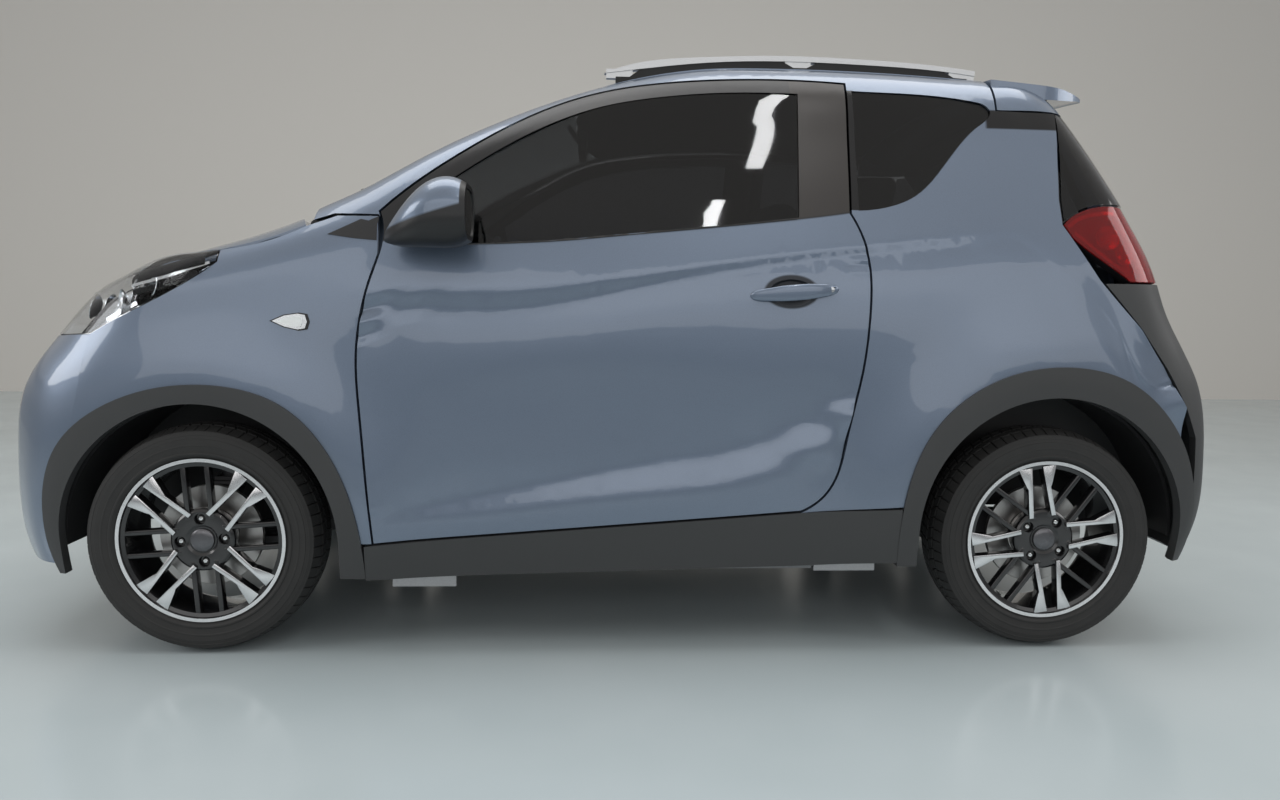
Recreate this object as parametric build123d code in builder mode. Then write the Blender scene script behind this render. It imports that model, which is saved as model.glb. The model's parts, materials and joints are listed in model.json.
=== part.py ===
import math
import os

import numpy as np
from build123d import *

# A two-door electric city car. +X is forward, +Y is the car's left, +Z is up, and the origin
# is on the ground under the middle of the car. Millimetres throughout.

# ---- driving dimensions -------------------------------------------------
overall_length = 3200.0
overall_width = 1670.0
wheelbase = 2150.0
front_overhang = 565.0
tyre_radius = 290.0
tyre_width = 165.0
track = 1410.0
rim_radius = 208.0
rim_width = 146.0
hub_radius = 78.0
spoke_pairs = 4
spoke_half_gap = 29.0
spoke_width = 13.0
spoke_face_y = 74.0
spoke_depth = 30.0
bolt_circle = 108.0
lug_count = 4
brake_radius = 128.0
stub_radius = 17.0
bearing_clearance = 0.05
cap_radius = 30.0
lug_pocket_radius = 14.0
lug_pocket_depth = 14.0
axle_height = tyre_radius
front_axle_x = overall_length / 2 - front_overhang
rear_axle_x = front_axle_x - wheelbase

roof_height = 1548.0
body_half_width = 815.0
belt_height = 1000.0


def curve_through(stations):
    """Natural cubic spline through (position, value) stations, straight beyond its ends."""
    s = sorted(stations)
    p = np.array([a for a, _ in s], float)
    v = np.array([b for _, b in s], float)
    n = len(p)
    h = np.diff(p)
    m = np.eye(n)
    rhs = np.zeros(n)
    for i in range(1, n - 1):
        m[i, i - 1 : i + 2] = h[i - 1], 2 * (h[i - 1] + h[i]), h[i]
        rhs[i] = 6 * ((v[i + 1] - v[i]) / h[i] - (v[i] - v[i - 1]) / h[i - 1])
    bend = np.linalg.solve(m, rhs)

    def value(t):
        t = np.asarray(t, float)
        i = np.clip(np.searchsorted(p, t) - 1, 0, n - 2)
        a, b, w = p[i], p[i + 1], h[i]
        tc = np.clip(t, p[0], p[-1])
        inside = (
            bend[i] * (b - tc) ** 3 / (6 * w)
            + bend[i + 1] * (tc - a) ** 3 / (6 * w)
            + (v[i] / w - bend[i] * w / 6) * (b - tc)
            + (v[i + 1] / w - bend[i + 1] * w / 6) * (tc - a)
        )
        first = (v[1] - v[0]) / h[0] - h[0] * bend[1] / 6
        last = (v[-1] - v[-2]) / h[-1] + h[-1] * bend[-2] / 6
        return inside + np.minimum(t - p[0], 0) * first + np.maximum(t - p[-1], 0) * last
    return value


def soft_max(a, b, radius):
    h = np.maximum(radius - np.abs(a - b), 0) / radius
    return np.maximum(a, b) + h * h * radius / 4


def soft_min(a, b, radius):
    return -soft_max(-a, -b, radius)


nose_line = curve_through(
    [
        (180, 1560), (260, 1588), (350, 1599), (500, 1600), (620, 1590), (700, 1562),
        (770, 1510), (850, 1448), (950, 1374), (1050, 1290),
    ]
)
tail_line = curve_through(
    [
        (180, -1535), (260, -1566), (340, -1590), (480, -1600), (600, -1598), (690, -1580),
        (780, -1540), (880, -1490), (980, -1462), (1080, -1425), (1200, -1362), (1320, -1290),
        (1420, -1226), (1500, -1175),
    ]
)

shoulder_brow = curve_through(
    [
        (700, 905), (462, 921), (315, 920), (184, 930), (-57, 962), (-247, 991), (-457, 1021),
        (-700, 1048), (-1000, 1085),
    ]
)
shoulder_foot = curve_through(
    [
        (700, 884), (591, 880), (407, 866), (296, 866), (128, 890), (-58, 930), (-247, 968),
        (-438, 998), (-698, 1028), (-1000, 1066),
    ]
)
fold_brow = curve_through(
    [
        (560, 362), (444, 399), (299, 429), (129, 462), (-68, 499), (-292, 537), (-400, 573),
        (-500, 627), (-600, 690),
    ]
)
fold_foot = curve_through(
    [
        (560, 342), (386, 351), (128, 381), (-79, 405), (-293, 432), (-389, 468), (-476, 541),
        (-549, 622), (-600, 672),
    ]
)
crease_least = 16.0


def shoulder_lines(x):
    """The brow of the crease below the windows, and the foot of the hollow under it."""
    brow = shoulder_brow(x)
    return brow, np.minimum(shoulder_foot(x), brow - crease_least)


def fold_lines(x):
    """The upper and the lower line of the fold along the bottom of the door."""
    brow = fold_brow(x)
    return brow, np.minimum(fold_foot(x), brow - crease_least)


def step_profile(z, foot, brow, reach):
    """Half a unit out at the brow and half a unit in at the foot, dying out a reach beyond each."""
    above = np.clip((brow + reach - z) / reach, 0, 1) ** 2
    below = np.clip((z - foot + reach) / reach, 0, 1) ** 2
    between = np.clip((z - foot) / (brow - foot), 0, 1)
    return np.where(z > brow, above / 2, np.where(z < foot, -below / 2, between - 0.5))


def side_width(x, z, crease=1.0):
    front = np.maximum(x - 300, 0)
    rear = np.maximum(-400 - x, 0)
    y = body_half_width - 62 * (front / 1200) ** 2 - 40 * (rear / 1100) ** 2
    y = y - 0.178 * ((z - belt_height) + np.sqrt((z - belt_height) ** 2 + 150**2))
    y = y - 0.0004 * np.maximum(450 - z, 0) ** 2
    for ax, lift in ((front_axle_x, 0), (rear_axle_x, 25)):
        d = np.hypot(x - ax, z - axle_height - lift)
        y = y + 20 * np.exp(-(((d - 395) / 120) ** 2))
    brow, foot = shoulder_lines(x)
    fade = np.clip((720 - x) / 160, 0, 1) * np.clip((x + 1080) / 300, 0, 1)
    y = y + 3 + crease * fade * np.minimum(10, 0.26 * (brow - foot)) * step_profile(z, foot, brow, 110)
    brow, foot = fold_lines(x)
    fade = np.clip((600 - x) / 60, 0, 1) * np.clip((x + 640) / 60, 0, 1)
    y = y - crease * fade * np.minimum(17, 0.18 * (brow - foot)) * step_profile(z, foot, brow, 170)
    scoop = np.exp(-(((z - 620) / 110) ** 2)) * np.exp(-(((x - 0) / 420) ** 2))
    return y - 8 * scoop


def top_height(x, y):
    hood = 1136 - 0.285 * (x - 766) - 38 * (y / 620) ** 2
    screen = 1182 - 0.575 * (x - 759) - 75 * (y / 620) ** 2
    roof = roof_height - 0.00007 * (x + 450) ** 2 - 30 * (y / 560) ** 2
    return soft_min(soft_max(hood, screen, 60), roof, 220)


def nose_x(y, z):
    wrap = 32 + 18 * np.clip((z - 600) / 350, 0, 1)
    return nose_line(z) - wrap * (y / 600) ** 2


def tail_x(y, z):
    wrap = 20 + 20 * np.clip((z - 700) / 400, 0, 1)
    return tail_line(z) + wrap * (y / 620) ** 2


nose_corner = 220.0
tail_corner = 120.0
shoulder_radius = 70.0


def form(x, y, z, crease=1.0):
    """Negative inside the outer skin, positive outside. Hidden layers leave the creases out."""
    y = np.abs(y)
    side = y - side_width(x, z, crease)
    top = z - top_height(x, y)
    across = soft_max(soft_max(side, x - nose_x(y, z), nose_corner), tail_x(y, z) - x, tail_corner)
    return soft_max(across, top, shoulder_radius)


# ---- sheets that follow the body form ------------------------------------


def meet(inside_axis, reach):
    """Distance along each ray at which it leaves the body form."""
    near = np.zeros_like(reach)
    far = reach.copy()
    for _ in range(36):
        middle = (near + far) / 2
        outside = inside_axis(middle) > 0
        far = np.where(outside, middle, far)
        near = np.where(outside, near, middle)
    return (near + far) / 2


def outward(x, y, z, crease):
    """Unit normals of the body form at an array of points."""
    step = 0.5
    slope = np.stack(
        [
            form(x + step, y, z, crease) - form(x - step, y, z, crease),
            form(x, y + step, z, crease) - form(x, y - step, z, crease),
            form(x, y, z + step, crease) - form(x, y, z - step, crease),
        ],
        axis=-1,
    )
    return slope / np.linalg.norm(slope, axis=-1, keepdims=True)


def sheet(x, y, z, across, start, depth, crease=1.0):
    """A solid lofted through the rows of a grid on the body form, from start to start + depth below it.
    Each row lies in a plane, whose normal is across, and its offsets stay in that plane."""
    normal = outward(x, y, z, crease)
    normal = normal - np.sum(normal * across, axis=-1, keepdims=True) * across
    normal = normal / np.sum(normal * normal, axis=-1, keepdims=True)
    skin = np.stack([x, y, z], axis=-1)
    outer = skin - start * normal
    inner = skin - (start + depth) * normal
    sections = []
    for near, far in zip(outer, inner):
        near = [tuple(point) for point in near]
        far = [tuple(point) for point in far]
        with BuildLine() as section:
            Spline(*near)
            Line(near[-1], far[-1])
            Spline(*far[::-1])
            Line(far[0], near[0])
        sections.append(section.wire())
    return Solid.make_loft(sections)


def between(low, high, count):
    """Heights from low up to, but not with, high."""
    return [low + (high - low) * k / count for k in range(count)]


def even_rows(count):
    return lambda x, low, high: between(low, high, count - 1) + [high]


def shoulder_rows(x, low, high):
    """Rows that run along the shoulder crease, drawn in where the flank is too low for it."""
    brow, foot = shoulder_lines(x)
    squeeze = np.minimum(1, (high - low) / (brow + 180 - low))
    crease = [low + (line - low) * squeeze for line in (foot - 16, foot + 5, brow - 5, brow + 16)]
    return between(low, crease[0], 5) + crease[:3] + between(crease[3], high, 5) + [high]


def door_rows(x, low, high):
    """Rows that run along the fold and the shoulder crease."""
    brow, foot = fold_lines(x)
    fold = [foot - 18, foot + 5, (foot + brow) / 2, brow - 5]
    rise, dip = shoulder_lines(x)
    shoulder = [dip - 16, dip + 5, rise - 5]
    lower = between(low, fold[0], 3) + fold + between(brow + 20, shoulder[0], 4)
    return lower + shoulder + between(rise + 16, high, 5) + [high]


def side_sheet(rear, front, low, high, start, depth, stations=20, rows=14, crease=1.0):
    """The left flank between two stations and two height lines.
    Its rows are evenly spaced, or stand where a function of the height lines puts them."""
    x = np.linspace(rear, front, stations)[:, None]
    spread = rows if callable(rows) else even_rows(rows)
    z = np.concatenate(spread(x, low(x), high(x)), axis=1)
    x = x + np.zeros(z.shape)
    y = meet(lambda reach: form(x, reach, z, crease), np.full(x.shape, overall_width))
    return sheet(x, y, z, np.array([1.0, 0, 0]), start, depth, crease)


def top_sheet(rear, front, half_width, start, depth, stations=18, rows=15):
    """Roof, screen or bonnet, across the whole width at each station."""
    x = np.linspace(rear, front, stations)[:, None] + np.zeros(rows)
    y = half_width * np.linspace(-1, 1, rows) + np.zeros((stations, 1))
    z = meet(lambda reach: form(x, y, reach), np.full(x.shape, 2 * roof_height))
    return sheet(x, y, z, np.array([1.0, 0, 0]), start, depth)


def wrap_sheet(axis_x, middle_angle, half_angle, low, high, start, depth, stations=29, rows=18):
    """A nose or a tail, seen from an upright axis inside the body."""
    angle = middle_angle + np.radians(half_angle) * np.linspace(-1, 1, stations)[:, None] + np.zeros(rows)
    z = np.linspace(low, high, rows) + np.zeros((stations, 1))
    reach = meet(
        lambda r: form(axis_x + r * np.cos(angle), r * np.sin(angle), z), np.full(z.shape, overall_length)
    )
    across = np.stack([-np.sin(angle), np.cos(angle), 0 * angle], axis=-1)
    return sheet(axis_x + reach * np.cos(angle), reach * np.sin(angle), z, across, start, depth)


def crest(x, y):
    """Height of the body form over a point of the plan."""
    x = np.asarray(x, float)
    y = np.broadcast_to(np.asarray(y, float), x.shape)
    return meet(lambda reach: form(x, y, reach), np.full(x.shape, 2 * roof_height))


def flat(height):
    return lambda x: height + 0 * x


# ---- outlines in side view -----------------------------------------------

gap = 6.0
door_front = [
    (600, 262), (612, 400), (630, 600), (639, 745), (628, 850), (598, 960), (577, 1035),
    (585, 1105),
]
door_rear = [
    (-460, 374), (-536, 440), (-572, 570), (-605, 720), (-621, 870), (-619, 990), (-574, 1120),
]
door_top = [
    (-580, 1462), (-366, 1469), (-205, 1462), (-50, 1446), (103, 1411), (254, 1343),
    (400, 1252), (510, 1172),
]
sill_front = (603, 293)


door_curves = [
    door_rear,
    [door_rear[-1], door_top[0]],
    door_top + [door_front[-1]],
    door_front[:0:-1] + [sill_front],
    [sill_front, door_rear[0]],
]


def grown(curves, amount):
    """The same outline moved outward by an amount, or inward by a negative one."""
    lines = [np.array(curve, float) for curve in curves]
    ring = np.concatenate([line[:-1] for line in lines])
    ahead = np.roll(ring, -1, axis=0)
    turn = np.sign(np.sum(ring[:, 0] * ahead[:, 1] - ahead[:, 0] * ring[:, 1]))
    across = []
    for line in lines:
        along = np.gradient(line, axis=0)
        along /= np.linalg.norm(along, axis=1, keepdims=True)
        across.append(turn * np.stack([along[:, 1], -along[:, 0]], axis=1))
    moved = []
    for i, line in enumerate(lines):
        shift = across[i].copy()
        for end, other in ((0, across[i - 1][-1]), (-1, across[(i + 1) % len(lines)][0])):
            shift[end] = (shift[end] + other) / (1 + shift[end] @ other)
        moved.append([tuple(point) for point in line + amount * shift])
    return moved


def shape_face(points, plane=Plane.XZ):
    """A straight-sided outline as a face."""
    with BuildSketch(plane) as face:
        with BuildLine():
            Polyline(*points, close=True)
        make_face()
    return face.sketch


def curved_face(curves, plane=Plane.XZ):
    """An outline of curves, each a list of points that its spline passes, joined end to end."""
    with BuildSketch(plane) as face:
        with BuildLine():
            for curve in curves:
                if len(curve) == 2:
                    Line(*curve)
                else:
                    Spline(*curve)
        make_face()
    return face.sketch


def through_prism(face, reach=1000.0):
    """What lies within a side-view outline, all through the car."""
    with BuildPart() as prism:
        extrude(face.moved(Location((0, -reach, 0))), amount=2 * reach, dir=(0, 1, 0))
    return prism.part


def upright_prism(face, reach=2000.0):
    """What stands over a plan outline."""
    with BuildPart() as prism:
        extrude(face.moved(Location((0, 0, -10))), amount=reach, dir=(0, 0, 1))
    return prism.part


window_curves = [
    [(-446, 1108), (-456, 1432)],
    [(-456, 1432), (-255, 1430), (-101, 1415), (52, 1385), (203, 1324), (349, 1237), (421, 1187)],
    [(421, 1187), (385, 1031)],
    [(385, 1031), (170, 1042), (-48, 1064), (-250, 1085), (-446, 1108)],
]
quarter_glass_curves = [
    [(-598, 1128), (-598, 1444)],
    [(-598, 1444), (-735, 1441), (-860, 1433), (-940, 1420)],
    [(-940, 1420), (-962, 1400), (-938, 1364)],
    [(-938, 1364), (-816, 1235), (-746, 1168), (-672, 1138), (-598, 1128)],
]
front_trim_outer = [
    (627, 200), (640, 330), (688, 480), (820, 634), (1013, 682), (1209, 647), (1378, 516),
    (1418, 370), (1396, 200),
]
rear_trim_outer = [
    (-712, 230), (-722, 400), (-793, 583), (-956, 709), (-1125, 742), (-1304, 703),
    (-1451, 556), (-1500, 400), (-1490, 230),
]
front_arch_radius = 345.0
rear_arch_radius = 352.0
rear_arch_rise = 22.0


def trim_face(outer):
    return curved_face([outer, [outer[-1], outer[0]]])


def arch_face(centre_x, rise, radius):
    with BuildSketch(Plane.XZ) as face:
        with Locations((centre_x, axle_height + rise)):
            Circle(radius)
        with Locations((centre_x, (axle_height + rise) / 2 - 50)):
            Rectangle(2 * radius, axle_height + rise + 100)
    return face.sketch


front_arch = arch_face(front_axle_x, 0, front_arch_radius)
rear_arch = arch_face(rear_axle_x, rear_arch_rise, rear_arch_radius)


def roof_edge_y(x):
    """Half the width of the roof and the windscreen, where they meet the side panels."""
    return 560 + 0.11 * np.maximum(x, 0)


hood_rear_x = 772.0
hood_edge_y = 742.0
roof_front_x = 120.0
gate_hinge_x = -985.0
lamp_gap = 3.0
seam_low = (1330, 592)

frame_start = 36.0
frame_depth = 38.0
frame_inset = 16.0
door_skin = 21.0
door_inner_depth = 58.0
door_inner_inset = 27.0
inner_wall_y = 736.0


quarter_rear = [
    (gate_hinge_x + 8, 1400),
    (-1142, 1398),
    (-1125, 1167),
    (-1129, 1102),
    (-1224, 963),
    (-1334, 838),
    (-1405, 736),
    (-1462, 640),
]


def side_high(x):
    """Upper edge of the flank sheets: over the roof edge, then down beside the tailgate."""
    edge = crest(np.maximum(x, -1100), roof_edge_y(x) - 14)
    return soft_min(edge, 1440 + 2.1 * (x + 1142), 260)


# ---- body sides ----------------------------------------------------------

side_outline = shape_face(
    [(752, 1040), (752, 1250), (100, 1700), (gate_hinge_x + 8, 1700)]
    + quarter_rear
    + [(-1462, 386), (-716, 386), (door_rear[0][0], door_rear[0][1] - gap), (sill_front[0], sill_front[1] - gap)]
)
pillar_foot = [(590, 1099), (700, 1101), (800, 1070)]
hinge_pillar = shape_face([(560, 0), (560, 1050)] + pillar_foot + [(800, 0)])
frame_outline = shape_face(
    [
        (700, 222), (700, 1010), (560, 1170), (100, 1700), (-700, 1700),
        (-760, 1100), (-700, 700), (-738, 500), (-738, 252),
    ]
)
beside_roof = upright_prism(
    shape_face([(760, 643.6), (0, 560), (-1600, 560), (-1600, 1000), (760, 1000)], Plane.XY)
)

with BuildPart() as side_outer:
    add(side_sheet(-1475, 770, flat(300.0), side_high, 0, frame_start + 4, 24, shoulder_rows))
    add(through_prism(side_outline), mode=Mode.INTERSECT)
    add(through_prism(curved_face(grown(door_curves, gap))), mode=Mode.SUBTRACT)
    add(through_prism(hinge_pillar), mode=Mode.SUBTRACT)
    add(through_prism(trim_face(rear_trim_outer)), mode=Mode.SUBTRACT)
with BuildPart() as door_ring:
    add(side_sheet(-765, 715, flat(215.0), side_high, frame_start, frame_depth, 12, 8, 0.0))
    add(through_prism(frame_outline), mode=Mode.INTERSECT)
    add(through_prism(curved_face(grown(door_curves, -frame_inset))), mode=Mode.SUBTRACT)
    add(through_prism(front_arch), mode=Mode.SUBTRACT)
    add(through_prism(rear_arch), mode=Mode.SUBTRACT)
    with Locations((0, inner_wall_y - 200, 300)):
        Box(2400, 400, 340, mode=Mode.SUBTRACT)
with BuildPart() as body_side_left:
    add(side_outer.part)
    add(door_ring.part)
    add(through_prism(curved_face(quarter_glass_curves)), mode=Mode.SUBTRACT)
    add(beside_roof, mode=Mode.INTERSECT)
with BuildPart() as quarter_glass_left:
    add(side_sheet(-990, -570, flat(1090.0), flat(1480.0), 5, 5, 8, 8))
    add(through_prism(curved_face(quarter_glass_curves)), mode=Mode.INTERSECT)

# ---- front wing, with the wheel arch trims and sill trims ------------------

fender_outline = shape_face(
    [(sill_front[0] + 2, 291), (590, 1010), (door_front[-1][0] + gap, 1094)]
    + [(x, z - gap) for x, z in pillar_foot[1:]]
    + [(1000, 1100), (1340, 1100), (1340, 300), (700, 291)]
)
lamp_curves = [
    [(981, 980), (1060, 925), (1180, 862), (1294, 802)],
    [(1294, 802), (1500, 790)],
    [(1500, 790), (1560, 1100)],
    [(1560, 1100), (981, 1100)],
    [(981, 1100), (981, 980)],
]
with BuildSketch() as hood_clear:
    with BuildLine():
        Spline((hood_rear_x, hood_edge_y + gap), (985, 735 + gap), (1194, 640 + gap), (1335, 453), (1418, 0))
        Line((hood_rear_x, hood_edge_y + gap), (500, hood_edge_y + gap))
        Line((500, hood_edge_y + gap), (500, 0))
        Line((500, 0), (1418, 0))
    make_face()
    mirror(about=Plane.XZ)
with BuildPart() as hood_void:
    add(upright_prism(hood_clear.sketch))
    add(through_prism(shape_face([(400, -100), (400, 760), (1700, 760), (1700, -100)])), mode=Mode.SUBTRACT)
ahead_of_seam = through_prism(
    shape_face([(1294, 802), seam_low, (1330, 100), (1800, 100), (1800, 1100), (1294, 1100)])
)


def fender_high(x):
    return crest(x, np.interp(x, [560, 772, 985, 1350], [700, 730, 722, 640]))


with BuildPart() as fender_left:
    add(side_sheet(565, 1345, flat(240.0), fender_high, 0, 16, 14, 12))
    add(through_prism(fender_outline), mode=Mode.INTERSECT)
    add(through_prism(curved_face(grown(door_curves, gap))), mode=Mode.SUBTRACT)
    add(through_prism(trim_face(front_trim_outer)), mode=Mode.SUBTRACT)
    add(through_prism(curved_face(grown(lamp_curves, lamp_gap))), mode=Mode.SUBTRACT)
    add(hood_void.part, mode=Mode.SUBTRACT)
    add(ahead_of_seam, mode=Mode.SUBTRACT)

with BuildPart() as front_arch_trim:
    add(side_sheet(600, 1425, flat(195.0), flat(700.0), -6, 30, 16, 10))
    add(through_prism(trim_face(front_trim_outer)), mode=Mode.INTERSECT)
    add(through_prism(front_arch), mode=Mode.SUBTRACT)
with BuildPart() as rear_arch_trim:
    add(side_sheet(-1510, -690, flat(225.0), flat(755.0), -6, 30, 16, 10))
    add(through_prism(trim_face(rear_trim_outer)), mode=Mode.INTERSECT)
    add(through_prism(rear_arch), mode=Mode.SUBTRACT)
sill_outline = shape_face(
    [(627, 195), (627, 284), (sill_front[0], sill_front[1] - gap), (door_rear[0][0], door_rear[0][1] - gap)]
    + [(-716, 380), (-716, 240), (-468, 228), (347, 205)]
)
with BuildPart() as sill_trim:
    add(side_sheet(-720, 632, flat(190.0), flat(392.0), -4, 26, 14, 6))
    add(through_prism(sill_outline), mode=Mode.INTERSECT)
    add(through_prism(trim_face(front_trim_outer)), mode=Mode.SUBTRACT)
    add(through_prism(trim_face(rear_trim_outer)), mode=Mode.SUBTRACT)

# ---- doors -----------------------------------------------------------------

belt_height_in_door = 1016.0
with BuildPart() as door_outer:
    add(side_sheet(-640, 655, flat(270.0), side_high, 0, door_skin, 15, door_rows))
    add(through_prism(curved_face(door_curves)), mode=Mode.INTERSECT)
with BuildPart() as door_inner:
    add(side_sheet(-620, 640, flat(285.0), flat(1060.0), door_skin - 10, door_inner_depth + 9, 12, 8, 0.0))
    add(through_prism(curved_face(grown(door_curves, -door_inner_inset))), mode=Mode.INTERSECT)
    with Locations((0, 500, belt_height_in_door + 200)):
        Box(2000, 1000, 400, mode=Mode.SUBTRACT)
with BuildPart() as handle:
    with BuildSketch(Plane.XZ.offset(-812)) as handle_bar:
        with Locations(Location((-430, 926), 4)):
            SlotOverall(226, 26)
    extrude(amount=-16)
    with BuildSketch(Plane.XZ.offset(-780)) as handle_feet:
        with Locations((-332, 930), (-528, 926)):
            Circle(11)
    extrude(amount=-34)
    fillet(handle.edges().group_by(Axis.Y)[-1], 5)
with BuildPart() as handle_cup:
    for cup_y, cup_long, cup_high in ((830, 82, 52), (790, 46, 26)):
        with BuildSketch(Plane.XZ.offset(-cup_y)) as cup_section:
            with Locations((-425, 923)):
                Ellipse(cup_long, cup_high)
    loft()
with BuildPart() as door_left:
    add(door_outer.part)
    add(door_inner.part)
    add(through_prism(curved_face(window_curves)), mode=Mode.SUBTRACT)
    add(handle_cup.part, mode=Mode.SUBTRACT)
    add(handle.part)
with BuildPart() as door_glass_left:
    add(side_sheet(-480, 440, flat(1010.0), lambda x: side_high(x) - 4, 6, 4, 12, 8))
    add(through_prism(curved_face(window_curves)), mode=Mode.INTERSECT)

# ---- bonnet, roof and windscreen ---------------------------------------------

with BuildSketch() as hood_plan:
    with BuildLine():
        Spline((hood_rear_x, hood_edge_y), (985, 735), (1190, 640), (1330, 450), (1412, 0))
        ThreePointArc((hood_rear_x, hood_edge_y), (870, 380), (905, 0))
        Line((905, 0), (1412, 0))
    make_face()
    mirror(about=Plane.XZ)
with BuildPart() as bonnet:
    add(top_sheet(760, 1425, 752.0, 0, 24, 16, 17))
    add(upright_prism(hood_plan.sketch), mode=Mode.INTERSECT)

with BuildSketch() as screen_plan:
    with BuildLine():
        ThreePointArc((700, 630), (800, 350), (835, 0))
        Line((700, 630), (40, 558))
        ThreePointArc((40, 558), (110, 300), (roof_front_x, 0))
        Line((roof_front_x, 0), (835, 0))
    make_face()
    mirror(about=Plane.XZ)
with BuildPart() as windscreen:
    add(top_sheet(30, 845, 645.0, 4, 6, 14, 13))
    add(upright_prism(screen_plan.sketch), mode=Mode.INTERSECT)

with BuildSketch() as roof_plan:
    with BuildLine():
        ThreePointArc((36, 558), (106, 300), (roof_front_x - 4, 0))
        Line((36, 558), (-30, 560))
        Line((-30, 560), (gate_hinge_x + 6, 560))
        Line((gate_hinge_x + 6, 560), (gate_hinge_x + 6, 0))
        Line((gate_hinge_x + 6, 0), (roof_front_x - 4, 0))
    make_face()
    mirror(about=Plane.XZ)
with BuildPart() as roof_panel:
    add(top_sheet(-1000, 140, 566.0, 0, 26, 16, 13))
    add(upright_prism(roof_plan.sketch), mode=Mode.INTERSECT)

with BuildSketch() as cowl_plan:
    with BuildLine():
        ThreePointArc((hood_rear_x + 12, 634), (862, 380), (898, 0))
        ThreePointArc((712, 628), (806, 350), (841, 0))
        Line((712, 628), (hood_rear_x + 12, 634))
        Line((841, 0), (898, 0))
    make_face()
    mirror(about=Plane.XZ)
with BuildPart() as cowl:
    add(top_sheet(690, 905, 705.0, 10, 30, 10, 13))
    add(upright_prism(cowl_plan.sketch), mode=Mode.INTERSECT)

# ---- nose --------------------------------------------------------------------

nose_axis_x = 850.0
lamp_inner_end = upright_prism(
    shape_face([(1600, 380), (1500, 380), (1300, 330), (900, 330), (900, 900), (1600, 900)], Plane.XY)
)
lamp_clear_end = upright_prism(
    shape_face([(1600, 376), (1500, 376), (1300, 326), (900, 326), (900, 900), (1600, 900)], Plane.XY)
)
with BuildPart() as nose_skin:
    add(wrap_sheet(nose_axis_x, 0.0, 96, 225.0, 1008.0, 0, 20, 27, 15))
with BuildPart() as headlamp_left:
    add(nose_skin.part)
    add(through_prism(curved_face(lamp_curves)), mode=Mode.INTERSECT)
    add(lamp_inner_end, mode=Mode.INTERSECT)
    add(hood_void.part, mode=Mode.SUBTRACT)
with BuildPart() as nose_shell:
    add(nose_skin.part)
    add(ahead_of_seam, mode=Mode.INTERSECT)
    add(hood_void.part, mode=Mode.SUBTRACT)
    add(through_prism(trim_face(front_trim_outer)), mode=Mode.SUBTRACT)
with BuildPart() as lamp_window:
    add(through_prism(curved_face(grown(lamp_curves, lamp_gap))))
    add(lamp_clear_end, mode=Mode.INTERSECT)
    mirror(about=Plane.XZ)


def intake_prism(border):
    """The lower air intake's opening, wider all round by a border."""
    with BuildPart() as prism:
        with BuildSketch(Plane.YZ.offset(1400)) as mouth:
            Polygon((-290, intake_low), (290, intake_low), (350, intake_high), (-350, intake_high), align=None)
            fillet(mouth.vertices(), 14)
            offset(amount=border)
        extrude(amount=300)
    return prism.part


intake_low = 262.0
intake_high = 356.0
grille_seat = 20.3
slat_pitch = 21.0
slot_height = 14.0
slot_width = 272.0
with BuildPart() as front_bumper:
    add(nose_shell.part)
    add(lamp_window.part, mode=Mode.SUBTRACT)
    add(intake_prism(0), mode=Mode.SUBTRACT)
with BuildPart() as lower_grille:
    add(wrap_sheet(nose_axis_x, 0.0, 34, 238.0, 384.0, grille_seat, 9, 13, 6))
    add(intake_prism(14), mode=Mode.INTERSECT)
    with BuildSketch(Plane.YZ.offset(1400)) as slots:
        with GridLocations(slot_width + 14, slat_pitch, 2, 4):
            SlotOverall(slot_width, slot_height)
    slots_in_place = slots.sketch.moved(Location((0, 0, (intake_low + intake_high) / 2)))
    extrude(slots_in_place, amount=300, dir=(1, 0, 0), mode=Mode.SUBTRACT)

# ---- tail ----------------------------------------------------------------------

tail_axis_x = -900.0
gate_low = 606.0
gate_half_width = 600.0
glass_low = 1104.0
lamp_split_y = 517.0
tail_lamp_curves = [
    [(-1130, 1097), (-1165, 1128), (-1212, 1147), (-1285, 1153)],
    [(-1285, 1153), (-1700, 1153)],
    [(-1700, 1153), (-1700, 960)],
    [(-1700, 960), (-1306, 960)],
    [(-1306, 960), (-1252, 998), (-1190, 1042), (-1130, 1097)],
]
behind_side = through_prism(
    shape_face(
        [(x - gap, z) for x, z in quarter_rear[1:]]
        + [(-1500, 560), (-1500, 200), (-1900, 200), (-1900, 1398)]
    )
)
lamp_half_width = 1000.0 - lamp_split_y

with BuildPart() as tail_lamp_left:
    add(wrap_sheet(tail_axis_x, math.radians(130), 40, 930.0, 1180.0, 0, 40, 12, 8))
    add(through_prism(curved_face(tail_lamp_curves)), mode=Mode.INTERSECT)
    add(behind_side, mode=Mode.INTERSECT)
    with Locations((-1400, lamp_split_y + lamp_half_width / 2 + gap / 2, 1050)):
        Box(900, lamp_half_width, 400, mode=Mode.INTERSECT)
with BuildPart() as lamp_openings:
    add(through_prism(curved_face(grown(tail_lamp_curves, gap))))
    with Locations((-1400, lamp_split_y + lamp_half_width / 2 - gap / 2, 1050)):
        Box(900, lamp_half_width, 400, mode=Mode.INTERSECT)
    mirror(about=Plane.XZ)

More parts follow.
